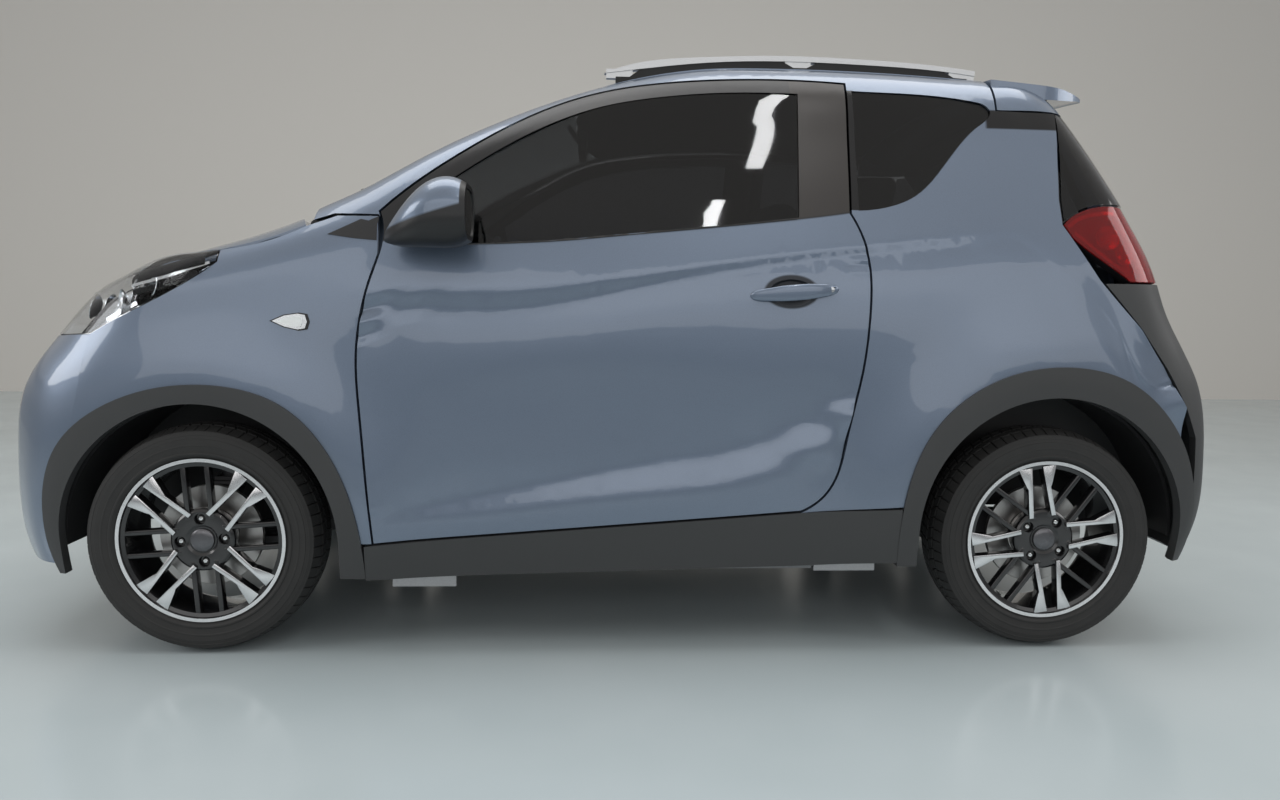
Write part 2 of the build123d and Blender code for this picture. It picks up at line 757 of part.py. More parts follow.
with BuildPart() as tail_skin:
    add(wrap_sheet(tail_axis_x, math.pi, 88, 235.0, glass_low + 20, 0, 22, 27, 18))
    add(behind_side, mode=Mode.INTERSECT)
with BuildPart() as gate_panel:
    add(tail_skin.part)
    with Locations((-1400, 0, (gate_low + glass_low - 4) / 2)):
        Box(900, 2 * gate_half_width, glass_low - 4 - gate_low, mode=Mode.INTERSECT)
    add(lamp_openings.part, mode=Mode.SUBTRACT)
with BuildPart() as gate_frame:
    add(wrap_sheet(tail_axis_x, math.pi, 70, gate_low + 20, 1440.0, 12, 34, 17, 10))
    with Locations((-1300, 0, 1030)):
        Box(900, 1120, 850, mode=Mode.INTERSECT)
    with Locations((-1300, 0, 1250)):
        Box(900, 980, 240, mode=Mode.SUBTRACT)
    with Locations((-1300, 0, 850)):
        Box(900, 980, 320, mode=Mode.SUBTRACT)
    add(lamp_openings.part, mode=Mode.SUBTRACT)
with BuildPart() as gate_crown:
    add(wrap_sheet(tail_axis_x, math.pi, 84, 1388.0, 1488.0, 0, 22, 23, 6))
    with Locations((gate_hinge_x - 300, 0, 1404 + 200)):
        Box(600, 2000, 400, mode=Mode.INTERSECT)
with BuildPart() as tailgate:
    add(gate_panel.part)
    add(gate_frame.part)
    add(gate_crown.part, mode=Mode.SUBTRACT)
with BuildPart() as rear_glass:
    add(wrap_sheet(tail_axis_x, math.pi, 88, glass_low - 20, 1425.0, 0, 6, 27, 10))
    add(behind_side, mode=Mode.INTERSECT)
    with Locations((-1400, 0, glass_low + 150)):
        Box(900, 2000, 300, mode=Mode.INTERSECT)
    add(lamp_openings.part, mode=Mode.SUBTRACT)
    add(gate_frame.part, mode=Mode.SUBTRACT)
with BuildPart() as rear_bumper:
    add(tail_skin.part)
    with Locations((-1400, 0, gate_low - gap + 500)):
        Box(900, 2 * (gate_half_width + gap), 1000, mode=Mode.SUBTRACT)
    with Locations((-1400, 0, 954 + 500)):
        Box(900, 2000, 1000, mode=Mode.SUBTRACT)
    add(through_prism(trim_face(rear_trim_outer)), mode=Mode.SUBTRACT)


def spoiler_top(x, y):
    droop = 0.0011 * np.maximum(-1150 - x, 0) ** 2
    return roof_height - 0.00007 * (x + 450) ** 2 - 30 * (y / 560) ** 2 - droop


spoiler_x = np.linspace(-1262, gate_hinge_x, 9)[:, None] + np.zeros(13)
spoiler_y = np.linspace(-1, 1, 13) * (606 - 60 * np.clip((-1120 - spoiler_x) / 142, 0, 1) ** 2)
spoiler_z = spoiler_top(spoiler_x, spoiler_y)
spoiler_under = spoiler_z - np.interp(spoiler_x, [-1262, -1180, -1060, -985], [9, 32, 42, 26])
with BuildPart() as spoiler:
    sections = []
    for x_row, y_row, z_row, under_row in zip(spoiler_x, spoiler_y, spoiler_z, spoiler_under):
        upper = [(x, y, z) for x, y, z in zip(x_row, y_row, z_row)]
        lower = [(x, y, z) for x, y, z in zip(x_row, y_row, under_row)]
        with BuildLine() as section:
            Spline(*upper)
            Line(upper[-1], lower[-1])
            Spline(*lower[::-1])
            Line(lower[0], upper[0])
        sections.append(section.wire())
    add(Solid.make_loft(sections))
    add(gate_crown.part)

# ---- roof rails ----------------------------------------------------------------

rail_y = 528.0
with BuildPart() as roof_rail_left:
    with BuildSketch(Plane.XZ.offset(-rail_y)) as rail_side:
        with BuildLine():
            Spline((40, 1500), (-56, 1530), (-218, 1547), (-380, 1555), (-655, 1552), (-878, 1539), (-966, 1529))
            Line((-966, 1529), (-966, 1516))
            Spline((-966, 1516), (-878, 1526), (-655, 1538), (-380, 1541), (-218, 1532), (-56, 1513), (40, 1500))
        make_face()
    extrude(amount=14, both=True)
    for foot_x, foot_top in ((0, 1512), (-480, 1546), (-930, 1526)):
        with Locations((foot_x, rail_y, foot_top - 12)):
            Box(70, 22, 24)
    add(roof_panel.part, mode=Mode.SUBTRACT)

# ---- wheels ----------------------------------------------------------------------

seat = rim_radius - 14

with BuildPart() as tyre:
    with BuildSketch(Plane.XY) as tyre_section:
        with BuildLine():
            half = tyre_width / 2
            bead = rim_width / 2
            Polyline((seat, -bead), (rim_radius + 1, -bead), (rim_radius + 9, -half + 3))
            Spline((rim_radius + 9, -half + 3), (tyre_radius - 42, -half), (tyre_radius - 9, -half + 14))
            ThreePointArc((tyre_radius - 9, -half + 14), (tyre_radius, 0), (tyre_radius - 9, half - 14))
            Spline((tyre_radius - 9, half - 14), (tyre_radius - 42, half), (rim_radius + 9, half - 3))
            Polyline((rim_radius + 9, half - 3), (rim_radius + 1, bead), (seat, bead), (seat, -bead))
        make_face()
    revolve(axis=Axis.Y)

wedge_spoke = [
    (hub_radius - 18, spoke_half_gap - 5), (seat - 2, 13.5), (seat - 2, 50), (144, 33), (137, 30),
    (hub_radius - 18, spoke_half_gap + 7),
]
with BuildPart() as rim:
    with BuildSketch(Plane.XY) as barrel_section:
        with BuildLine():
            lip = rim_width / 2
            Polyline(
                (seat, -lip), (rim_radius, -lip), (rim_radius, -lip - 6), (seat - 2, -lip - 6),
                (seat - 10, -lip + 20), (seat - 10, lip - 20), (seat - 8, lip - 4), (seat + 3, lip + 6),
                (rim_radius, lip + 6), (rim_radius, lip), (seat, lip), (seat, -lip),
            )
        make_face()
    revolve(axis=Axis.Y)
    with BuildSketch(Plane.XZ.offset(-spoke_face_y)) as hub_and_spokes:
        Circle(hub_radius)
        with PolarLocations(0, spoke_pairs):
            for half_gap in (-spoke_half_gap, spoke_half_gap):
                with Locations((hub_radius / 2 + seat / 2, half_gap)):
                    Rectangle(seat - hub_radius + 34, spoke_width)
        with PolarLocations(0, spoke_pairs, start_angle=180 / spoke_pairs):
            Polygon(*wedge_spoke, align=None)
            Polygon(*[(along, -across) for along, across in wedge_spoke[::-1]], align=None)
        Circle(seat - 4, mode=Mode.INTERSECT)
    extrude(amount=spoke_depth)
    with BuildSketch(Plane.XZ.offset(-spoke_face_y)) as lug_pockets:
        with PolarLocations(bolt_circle / 2, lug_count):
            Circle(lug_pocket_radius)
    extrude(amount=lug_pocket_depth, mode=Mode.SUBTRACT)
    with BuildSketch(Plane.XZ.offset(-spoke_face_y + lug_pocket_depth)) as lug_nuts:
        with PolarLocations(bolt_circle / 2, lug_count):
            RegularPolygon(10.5, 6)
    extrude(amount=-12)
    with BuildSketch(Plane.XZ.offset(-spoke_face_y)) as centre_cap:
        Circle(cap_radius)
    extrude(amount=-4)
    with Locations(Location((0, spoke_face_y - spoke_depth, 0), (90, 0, 0))):
        Cylinder(stub_radius + bearing_clearance, 36, mode=Mode.SUBTRACT)

with BuildPart() as brake_disc:
    with BuildSketch(Plane.XZ.offset(-10)) as disc_face:
        Circle(brake_radius)
        Circle(stub_radius + bearing_clearance, mode=Mode.SUBTRACT)
    extrude(amount=12)
    with BuildSketch(Plane.XZ.offset(-10)) as bell_face:
        Circle(72)
        Circle(stub_radius + bearing_clearance, mode=Mode.SUBTRACT)
    extrude(amount=-(spoke_face_y - spoke_depth - 10))


# ---- floor, running gear and seats ------------------------------------------------

floor_height = 222.0
with BuildPart() as floor_pan:
    with BuildSketch(Plane.XZ) as floor_side:
        with BuildLine():
            Polyline(
                (640, floor_height), (-700, floor_height), (-700, 440), (-1440, 440), (-1440, 452),
                (-712 + 24, 452), (-712 + 24, floor_height + 12), (628, floor_height + 12),
                (628, 520), (690, 960), (770, 1010), (778, 998), (702, 952), (640, 516), (640, floor_height),
            )
        make_face()
    extrude(amount=inner_wall_y - 60, both=True)
    with Locations((-1075, 560, 446)):
        Box(800, 400, 20, mode=Mode.SUBTRACT)
    with Locations((-1075, -560, 446)):
        Box(800, 400, 20, mode=Mode.SUBTRACT)
    with Locations((-30, 0, floor_height + 6)):
        Box(1316, 2 * inner_wall_y, 12)

with BuildPart() as wheel_wells:
    for centre_x, rise, radius, inner_y in (
        (front_axle_x, 0.0, front_arch_radius, 455.0),
        (rear_axle_x, rear_arch_rise, rear_arch_radius, 560.0),
    ):
        with BuildSketch(Plane.XZ.offset(-inner_y)) as arch_ring:
            with Locations((centre_x, axle_height + rise)):
                Circle(radius + 8)
                Circle(radius, mode=Mode.SUBTRACT)
                with Locations((0, -radius)):
                    Rectangle(3 * radius, 2 * radius - 40, mode=Mode.SUBTRACT)
        extrude(amount=-(740 - inner_y))
        with BuildSketch(Plane.XZ.offset(-inner_y)) as arch_wall:
            with Locations((centre_x, axle_height + rise)):
                Circle(radius + 8)
                with Locations((0, -radius)):
                    Rectangle(3 * radius, 2 * radius - 40, mode=Mode.SUBTRACT)
        extrude(amount=8)
    with Locations((rear_axle_x + 90, 560, 280)):
        Box(330, 60, 110, mode=Mode.SUBTRACT)
    add(front_arch_trim.part, mode=Mode.SUBTRACT)
    mirror(about=Plane.XZ)

with BuildPart() as battery_pack:
    with Locations((-40, 0, 178)):
        Box(1120, 1000, 86)
    fillet(battery_pack.edges().filter_by(Axis.Z), 30)

with BuildPart() as drive_unit:
    with Locations((front_axle_x + 20, 0, 387)):
        Box(330, 420, 330)
    fillet(drive_unit.edges().filter_by(Axis.Y), 40)

knuckle_y = track / 2 - 62
kingpin_y = track / 2 - 40
with BuildPart() as front_subframe:
    with Locations((front_axle_x, 0, 190)):
        Box(300, 620, 48)
    for side in (-1, 1):
        with Locations((front_axle_x, side * 445, 190)):
            Box(60, 270, 30)
    with Locations((front_axle_x - 230, 0, 205), (front_axle_x + 230, 0, 205)):
        Box(200, 500, 30)

with BuildPart() as rear_axle:
    with Locations((rear_axle_x + 190, 0, 270)):
        Box(90, 1040, 80)
    for side in (-1, 1):
        with Locations((rear_axle_x + 90, side * 520, 280)):
            Box(290, 50, 70)
        with Locations(Location((rear_axle_x, side * (track / 2 - 55), axle_height), (90, 0, 0))):
            Cylinder(stub_radius, 230)

with BuildPart() as knuckle_left:
    with Locations((front_axle_x, knuckle_y - 36, axle_height)):
        Box(70, 30, 240)
    with Locations(Location((front_axle_x, knuckle_y + 46, axle_height), (90, 0, 0))):
        Cylinder(stub_radius, 152)
    with Locations((front_axle_x - 90, knuckle_y - 30, axle_height - 40)):
        Box(150, 26, 26)
    with Locations((front_axle_x, knuckle_y - 60, axle_height + 110)):
        Box(60, 50, 40)
    with Locations((front_axle_x, knuckle_y - 66, axle_height + 190)):
        Cylinder(22, 150)
    for pin_z in (axle_height - 112, axle_height + 104):
        with Locations((front_axle_x, (knuckle_y - 30 + kingpin_y) / 2, pin_z)):
            Box(34, kingpin_y - knuckle_y + 30, 16)
        with Locations((front_axle_x, kingpin_y, pin_z)):
            Cylinder(17, 28)

with BuildPart() as dashboard:
    with BuildSketch(Plane.XZ) as dash_side:
        with BuildLine():
            Polyline((640, 820), (330, 790), (320, 900), (400, 985), (640, 1012), (640, 820))
        make_face()
        fillet(dash_side.vertices(), 22)
    extrude(amount=690, both=True)

with BuildPart() as steering_wheel:
    wheel_plane = Plane((262, 360, 905), x_dir=(0, 1, 0), z_dir=(-0.9, 0, 0.436))
    with BuildSketch(wheel_plane) as rim_place:
        Circle(64)
        with PolarLocations(0, 3, start_angle=90):
            with Locations((105, 0)):
                Rectangle(120, 34)
    extrude(amount=16, both=True)
    with BuildLine(wheel_plane) as wheel_ring:
        CenterArc((0, 0), 178, 0, 360)
    with BuildSketch(Plane(wheel_ring.line @ 0, z_dir=wheel_ring.line % 0)) as grip:
        Circle(14)
    sweep(path=wheel_ring.line)
    with BuildSketch(wheel_plane) as column:
        Circle(30)
    extrude(amount=-120)
    add(dashboard.part, mode=Mode.SUBTRACT)

with BuildPart() as front_seats:
    with BuildSketch(Plane.XZ.offset(-120)) as seat_side:
        with BuildLine():
            Polyline(
                (240, 300), (-230, 270), (-330, 460), (-480, 1010), (-560, 1180), (-470, 1190),
                (-350, 1000), (-190, 500), (210, 470), (270, 400), (240, 300),
            )
        make_face()
        fillet(seat_side.vertices(), 26)
    extrude(amount=-470)
    with Locations((0, 355, 264.5)):
        Box(360, 380, 60)
    mirror(about=Plane.XZ)

with BuildPart() as rear_bench:
    with BuildSketch(Plane.XZ) as bench_side:
        with BuildLine():
            Polyline(
                (-670, 240), (-430, 240), (-400, 470), (-700, 490), (-860, 980),
                (-950, 980), (-860, 456), (-670, 456), (-670, 240),
            )
        make_face()
    extrude(amount=540, both=True)

# ---- small outside pieces -----------------------------------------------------------

with BuildPart() as mirror_left:
    for mirror_x, middle_y, middle_z, wide, high in (
        (354, 893, 1093, 172, 126), (380, 893, 1093, 182, 152), (440, 890, 1088, 178, 148),
        (492, 882, 1067, 146, 104), (530, 872, 1046, 96, 56), (550, 866, 1036, 52, 24),
    ):
        with BuildSketch(Plane.YZ.offset(mirror_x)) as mirror_section:
            with Locations((middle_y, middle_z)):
                RectangleRounded(wide, high, 0.42 * high)
    loft()
    with BuildSketch(Plane.YZ.offset(354)) as mirror_mouth:
        with Locations((893, 1093)):
            RectangleRounded(152, 106, 44)
    extrude(amount=10, mode=Mode.SUBTRACT)
    with BuildSketch(Plane.XZ.offset(-775)) as mirror_foot:
        with Locations((492, 1040)):
            Ellipse(40, 15)
    extrude(amount=-75)
    add(door_left.part, mode=Mode.SUBTRACT)

with BuildPart() as jacking_plates:
    for plate_x, low in ((490, 172), (-590, 210)):
        with Locations((plate_x, inner_wall_y + 26, low + 12)):
            Box(160, 6, 34)
        with Locations((plate_x, inner_wall_y + 16, low - 2)):
            Box(160, 26, 6)
    mirror(about=Plane.XZ)

with BuildPart() as front_plate:
    with Locations((1604, 0, 430)):
        Box(6, 440, 112)
with BuildPart() as rear_plate:
    with Locations((-1602, 0, 680)):
        Box(6, 440, 112)

# ---- naming, mirroring and export ----------------------------------------------------

os.makedirs("parts", exist_ok=True)


def write(name, solid):
    solid.label = name
    export_step(solid, f"parts/{name}.step")
    print(name, round(solid.volume), "valid" if solid.is_valid else "NOT VALID")


for name, made in (
    ("body_side", body_side_left),
    ("fender", fender_left),
    ("door", door_left),
    ("door_glass", door_glass_left),
    ("door_mirror", mirror_left),
    ("headlamp", headlamp_left),
    ("knuckle", knuckle_left),
):
    write(f"{name}_left", made.part)
    write(f"{name}_right", mirror(made.part, about=Plane.XZ))

for name, made in (
    ("quarter_glass", quarter_glass_left),
    ("tail_lamps", tail_lamp_left),
    ("roof_rails", roof_rail_left),
    ("front_arch_trims", front_arch_trim),
    ("rear_arch_trims", rear_arch_trim),
    ("sill_trims", sill_trim),
):
    write(name, Compound(made.part.solids() + mirror(made.part, about=Plane.XZ).solids()))

for name, made in (
    ("bonnet", bonnet),
    ("windscreen", windscreen),
    ("roof_panel", roof_panel),
    ("cowl", cowl),
    ("front_bumper", front_bumper),
    ("lower_grille", lower_grille),
    ("rear_bumper", rear_bumper),
    ("tailgate", tailgate),
    ("rear_glass", rear_glass),
    ("spoiler", spoiler),
    ("floor_pan", floor_pan),
    ("wheel_wells", wheel_wells),
    ("battery_pack", battery_pack),
    ("drive_unit", drive_unit),
    ("front_subframe", front_subframe),
    ("rear_axle", rear_axle),
    ("dashboard", dashboard),
    ("steering_wheel", steering_wheel),
    ("front_seats", front_seats),
    ("rear_bench", rear_bench),
    ("jacking_plates", jacking_plates),
    ("front_plate", front_plate),
    ("rear_plate", rear_plate),
):
    write(name, made.part)

with BuildPart() as alloy_wheel:
    add(rim.part)
    add(brake_disc.part)

for axle, axle_x, turned in (("front", front_axle_x, 4), ("rear", rear_axle_x, 54)):
    for side, side_sign, face in (("left", 1, 0), ("right", -1, 180)):
        place = Location((axle_x, side_sign * track / 2, axle_height), (0, 0, face))
        place = place * Location((0, 0, 0), (0, turned, 0))
        write(f"tyre_{axle}_{side}", tyre.part.moved(place))
        write(f"rim_{axle}_{side}", alloy_wheel.part.moved(place))
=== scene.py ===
import json
import math

import bmesh
import bpy
from mathutils import Matrix, Vector
from mathutils.bvhtree import BVHTree

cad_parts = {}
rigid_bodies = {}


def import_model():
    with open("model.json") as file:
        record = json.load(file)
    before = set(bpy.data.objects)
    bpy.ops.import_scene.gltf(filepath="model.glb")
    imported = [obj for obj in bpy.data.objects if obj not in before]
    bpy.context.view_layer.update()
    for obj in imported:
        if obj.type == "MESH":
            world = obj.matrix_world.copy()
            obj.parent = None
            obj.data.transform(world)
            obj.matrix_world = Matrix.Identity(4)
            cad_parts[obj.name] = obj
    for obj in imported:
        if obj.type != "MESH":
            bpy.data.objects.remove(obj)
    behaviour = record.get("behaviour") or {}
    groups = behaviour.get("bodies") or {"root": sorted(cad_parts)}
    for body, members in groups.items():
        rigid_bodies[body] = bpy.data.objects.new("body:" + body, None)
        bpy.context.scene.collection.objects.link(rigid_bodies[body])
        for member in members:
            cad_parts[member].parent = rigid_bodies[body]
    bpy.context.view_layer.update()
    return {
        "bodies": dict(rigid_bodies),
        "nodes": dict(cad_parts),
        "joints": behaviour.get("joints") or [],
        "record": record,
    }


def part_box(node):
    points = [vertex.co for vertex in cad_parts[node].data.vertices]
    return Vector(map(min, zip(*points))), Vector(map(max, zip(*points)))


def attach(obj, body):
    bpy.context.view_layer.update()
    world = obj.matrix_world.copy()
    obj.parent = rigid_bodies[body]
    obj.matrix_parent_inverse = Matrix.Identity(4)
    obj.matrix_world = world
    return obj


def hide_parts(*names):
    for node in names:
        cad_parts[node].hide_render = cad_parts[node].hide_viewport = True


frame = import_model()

nodes = frame["nodes"]
scene = bpy.context.scene
print("frame loaded:", len(nodes), "nodes")

# the eye stands 2.3 m out from the door, a little under the belt line, and looks slightly down
eye = {"place": (0.072, 3.094, 0.886), "yaw": 3.08, "pitch": 5.84, "roll": 0.69,
       "lens": 26.12, "sensor": 36.0}


def makeCamera():
    yaw = math.radians(eye["yaw"])
    pitch = math.radians(eye["pitch"])
    roll = math.radians(eye["roll"])
    ahead = Vector((-math.sin(yaw) * math.cos(pitch), -math.cos(yaw) * math.cos(pitch), -math.sin(pitch)))
    right = ahead.cross(Vector((0, 0, 1))).normalized()
    up = right.cross(ahead)
    tiltedRight = math.cos(roll) * right + math.sin(roll) * up
    tiltedUp = math.cos(roll) * up - math.sin(roll) * right
    data = bpy.data.cameras.new("camera")
    data.lens = eye["lens"]
    data.sensor_width = eye["sensor"]
    camera = bpy.data.objects.new("camera", data)
    camera.matrix_world = Matrix((tiltedRight, tiltedUp, -ahead)).transposed().to_4x4()
    camera.location = eye["place"]
    scene.collection.objects.link(camera)
    scene.camera = camera


makeCamera()
scene.view_settings.view_transform = "Standard"


class Wire:
    # one output of a shader tree, with arithmetic
    def __init__(self, tree, socket):
        self.tree = tree
        self.socket = socket

    def join(self, kind, *others, clamp=False):
        node = self.tree.nodes.new("ShaderNodeMath")
        node.operation = kind
        node.use_clamp = clamp
        for slot, value in zip(node.inputs, (self, *others)):
            if isinstance(value, Wire):
                self.tree.links.new(value.socket, slot)
            else:
                slot.default_value = value
        return Wire(self.tree, node.outputs[0])

    def __add__(self, other):
        return self.join("ADD", other)

    def __sub__(self, other):
        return self.join("SUBTRACT", other)

    def __mul__(self, other):
        return self.join("MULTIPLY", other)

    def __truediv__(self, other):
        return self.join("DIVIDE", other)

    def __pow__(self, other):
        return self.join("POWER", other)

    def above(self, other, soft=0.0015):
        # 0 below the limit, 1 above it, with a soft edge
        return ((self - other) * (0.5 / soft) + 0.5).join("MAXIMUM", 0.0).join("MINIMUM", 1.0)

    def outOf(self):
        # 1 minus this
        return (self * -1.0) + 1.0

    def wave(self, pitch):
        return (self * (2 * math.pi / pitch)).join("SINE")


class Look:
    # a material under construction: its tree, its shader and the object coordinates
    def __init__(self, name, colour, rough, metal=0.0, **more):
        self.material = bpy.data.materials.new(name)
        self.material.use_nodes = True
        self.tree = self.material.node_tree
        self.shader = self.tree.nodes["Principled BSDF"]
        self.coords = self.tree.nodes.new("ShaderNodeTexCoord").outputs["Object"]
        split = self.tree.nodes.new("ShaderNodeSeparateXYZ")
        self.tree.links.new(self.coords, split.inputs[0])
        self.x, self.y, self.z = (Wire(self.tree, out) for out in split.outputs)
        self.colour = (*colour, 1.0)
        self.shader.inputs["Base Color"].default_value = self.colour
        self.shader.inputs["Roughness"].default_value = rough
        self.shader.inputs["Metallic"].default_value = metal
        for key, value in more.items():
            self.shader.inputs[key.replace("_", " ")].default_value = value

    def noise(self, scale, detail=3.0, stretch=None):
        node = self.tree.nodes.new("ShaderNodeTexNoise")
        node.inputs["Scale"].default_value = scale
        node.inputs["Detail"].default_value = detail
        source = self.coords
        if stretch:
            mapping = self.tree.nodes.new("ShaderNodeMapping")
            mapping.inputs["Scale"].default_value = stretch
            self.tree.links.new(source, mapping.inputs["Vector"])
            source = mapping.outputs["Vector"]
        self.tree.links.new(source, node.inputs["Vector"])
        return Wire(self.tree, node.outputs["Fac"])

    def cells(self, scale):
        node = self.tree.nodes.new("ShaderNodeTexVoronoi")
        node.inputs["Scale"].default_value = scale
        self.tree.links.new(self.coords, node.inputs["Vector"])
        return Wire(self.tree, node.outputs["Distance"])

    def mix(self, share, first, second):
        node = self.tree.nodes.new("ShaderNodeMix")
        node.data_type = "RGBA"
        self.tree.links.new(share.socket, node.inputs["Factor"])
        for socket, value in zip([s for s in node.inputs if s.type == "RGBA"], (first, second)):
            if isinstance(value, Wire):
                self.tree.links.new(value.socket, socket)
            else:
                socket.default_value = (*value[:3], 1.0)
        return Wire(self.tree, [s for s in node.outputs if s.type == "RGBA"][0])

    def set(self, **wires):
        for key, wire in wires.items():
            self.tree.links.new(wire.socket, self.shader.inputs[key.replace("_", " ")])
        return self

    def bump(self, height, strength=0.3, distance=0.001):
        node = self.tree.nodes.new("ShaderNodeBump")
        node.inputs["Strength"].default_value = strength
        node.inputs["Distance"].default_value = distance
        self.tree.links.new(height.socket, node.inputs["Height"])
        self.tree.links.new(node.outputs["Normal"], self.shader.inputs["Normal"])
        return self


bodyBlue = (0.150, 0.192, 0.262)
paintFinish = {"rough": 0.34, "metal": 0.55, "coatRough": 0.03}


def makePaint(name, colour=bodyBlue):
    look = Look(name, colour, paintFinish["rough"], paintFinish["metal"], Coat_Weight=1.0,
                Coat_Roughness=paintFinish["coatRough"])
    flake = look.cells(1400.0)
    cloud = look.noise(3.0)
    bright = [c * 1.22 for c in colour]
    deep = [c * 0.86 for c in colour]
    look.set(Base_Color=look.mix(flake * 0.9 + cloud * 0.12, bright, deep))
    return look.bump(look.noise(34.0), 0.03, 0.0008)


def makePlastic(name, colour, rough=0.55, grain=900.0, depth=0.35):
    look = Look(name, colour, rough)
    pores = look.noise(grain, 4.0)
    worn = look.noise(9.0)
    light = [c * 1.35 + 0.004 for c in colour]
    look.set(Base_Color=look.mix(pores * 0.5 + worn * 0.4, colour, light))
    look.set(Roughness=worn * 0.18 + (rough - 0.09))
    return look.bump(pores, depth, 0.0004)


def makeGlossBlack(name, colour=(0.008, 0.008, 0.009), rough=0.06):
    look = Look(name, colour, rough, Coat_Weight=0.6)
    dust = look.noise(60.0)
    look.set(Roughness=dust * 0.06 + (rough - 0.02))
    return look


def makeGlass(name, tint, rough=0.02, through=1.0, index=1.45):
    look = Look(name, tint, rough, IOR=index, Transmission_Weight=through)
    smear = look.noise(14.0, 5.0)
    look.set(Roughness=smear * 0.03 + rough * 0.5)
    return look


def makeMetal(name, colour, rough, streak=None, grain=220.0, metal=1.0):
    look = Look(name, colour, rough, metal)
    drawn = look.noise(grain, 3.0, streak)
    dull = [c * 0.78 for c in colour]
    look.set(Base_Color=look.mix(drawn, colour, dull))
    look.set(Roughness=drawn * 0.16 + (rough - 0.08))
    return look.bump(drawn, 0.12, 0.0004)


def makeTurned(name, colour, rough, centre, pitch=0.0011):
    # metal turned on a lathe: fine rings about a wheel's axle
    look = Look(name, colour, rough, 1.0)
    across = look.x - centre[0]
    rise = look.z - centre[2]
    radius = (across * across + rise * rise).join("SQRT")
    rings = radius.wave(pitch)
    look.set(Roughness=rings * 0.04 + rough)
    grime = look.noise(70.0)
    look.set(Base_Color=look.mix(grime, colour, [c * 0.82 for c in colour]))
    return look.bump(rings, 0.10, 0.0002)


def makeCloth(name, colour, thread=0.0016):
    look = Look(name, colour, 0.9, Sheen_Weight=0.35, Sheen_Roughness=0.5)
    across = look.x.wave(thread) * look.z.wave(thread) + look.y.wave(thread)
    fuzz = look.noise(400.0)
    look.set(Base_Color=look.mix(fuzz * 0.6 + across * 0.15 + 0.2, [c * 0.7 for c in colour], [c * 1.4 for c in colour]))
    return look.bump(across + fuzz, 0.4, 0.0005)


darkTrim = (0.030, 0.031, 0.033)
looks = {
    "paint": makePaint("bodyPaint"),
    "cladding": makePlastic("cladding", (0.036, 0.037, 0.038), 0.5),
    "blackPlastic": makePlastic("blackPlastic", (0.014, 0.014, 0.015), 0.45, 500.0, 0.15),
    "cabinPlastic": makePlastic("cabinPlastic", (0.045, 0.044, 0.046), 0.62, 1300.0, 0.5),
    "rubber": makePlastic("rubber", (0.012, 0.012, 0.012), 0.7, 700.0, 0.2),
    "glossBlack": makeGlossBlack("glossBlack"),
    "darkGlass": makeGlass("darkGlass", (0.10, 0.105, 0.115)),
    "screenGlass": makeGlass("screenGlass", (0.55, 0.60, 0.60)),
    "satinSilver": makeMetal("satinSilver", (0.62, 0.63, 0.64), 0.32, (1.0, 20.0, 20.0)),
    "steel": makeMetal("steel", (0.42, 0.42, 0.43), 0.4),
    "castMetal": makeMetal("castMetal", (0.16, 0.16, 0.165), 0.55, None, 500.0, 0.8),
    "caseMetal": makeMetal("caseMetal", (0.30, 0.31, 0.32), 0.45, None, 120.0, 0.9),
    "cloth": makeCloth("cloth", (0.050, 0.052, 0.058)),
    "plateWhite": makePlastic("plateWhite", (0.60, 0.61, 0.62), 0.4, 300.0, 0.1),
}
print("finishes made:", len(looks))


def addObject(name, mesh):
    made = bpy.data.objects.new(name, mesh)
    scene.collection.objects.link(made)
    return made


def finish(name, mesh, body, lookNames, smooth=35.0, slot=None):
    # normals outward, finishes in order, smooth within an angle, riding on its body
    work = bmesh.new()
    work.from_mesh(mesh)
    bmesh.ops.recalc_face_normals(work, faces=work.faces)
    for face in work.faces:
        face.smooth = True
    for edge in work.edges:
        edge.smooth = not (len(edge.link_faces) == 2 and edge.calc_face_angle() > math.radians(smooth))
    work.to_mesh(mesh)
    work.free()
    for look in lookNames:
        mesh.materials.append(looks[look].material if isinstance(look, str) else look.material)
    made = addObject(name, mesh)
    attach(made, body)
    return made


def meshOf(name, points, faces, marks=None):
    mesh = bpy.data.meshes.new(name)
    mesh.from_pydata([tuple(p) for p in points], [], faces)
    if marks:
        mesh.polygons.foreach_set("material_index", marks)
    return mesh


def joined(name, meshes):
    # several meshes as one, each keeping its own finish numbers
    work = bmesh.new()
    for mesh in meshes:
        work.from_mesh(mesh)
    made = bpy.data.meshes.new(name)
    work.to_mesh(made)
    work.free()
    return made


def marked(mesh, number):
    mesh.polygons.foreach_set("material_index", [number] * len(mesh.polygons))
    return mesh


def baked(mesh, *modifiers):
    # the mesh after its modifiers, as a plain mesh
    holder = addObject("holder", mesh)
    for kind, settings in modifiers:
        modifier = holder.modifiers.new(kind, kind)
        for key, value in settings.items():
            setattr(modifier, key, value)
    bpy.context.view_layer.update()
    made = bpy.data.meshes.new_from_object(holder.evaluated_get(bpy.context.evaluated_depsgraph_get()))
    bpy.data.objects.remove(holder)
    return made


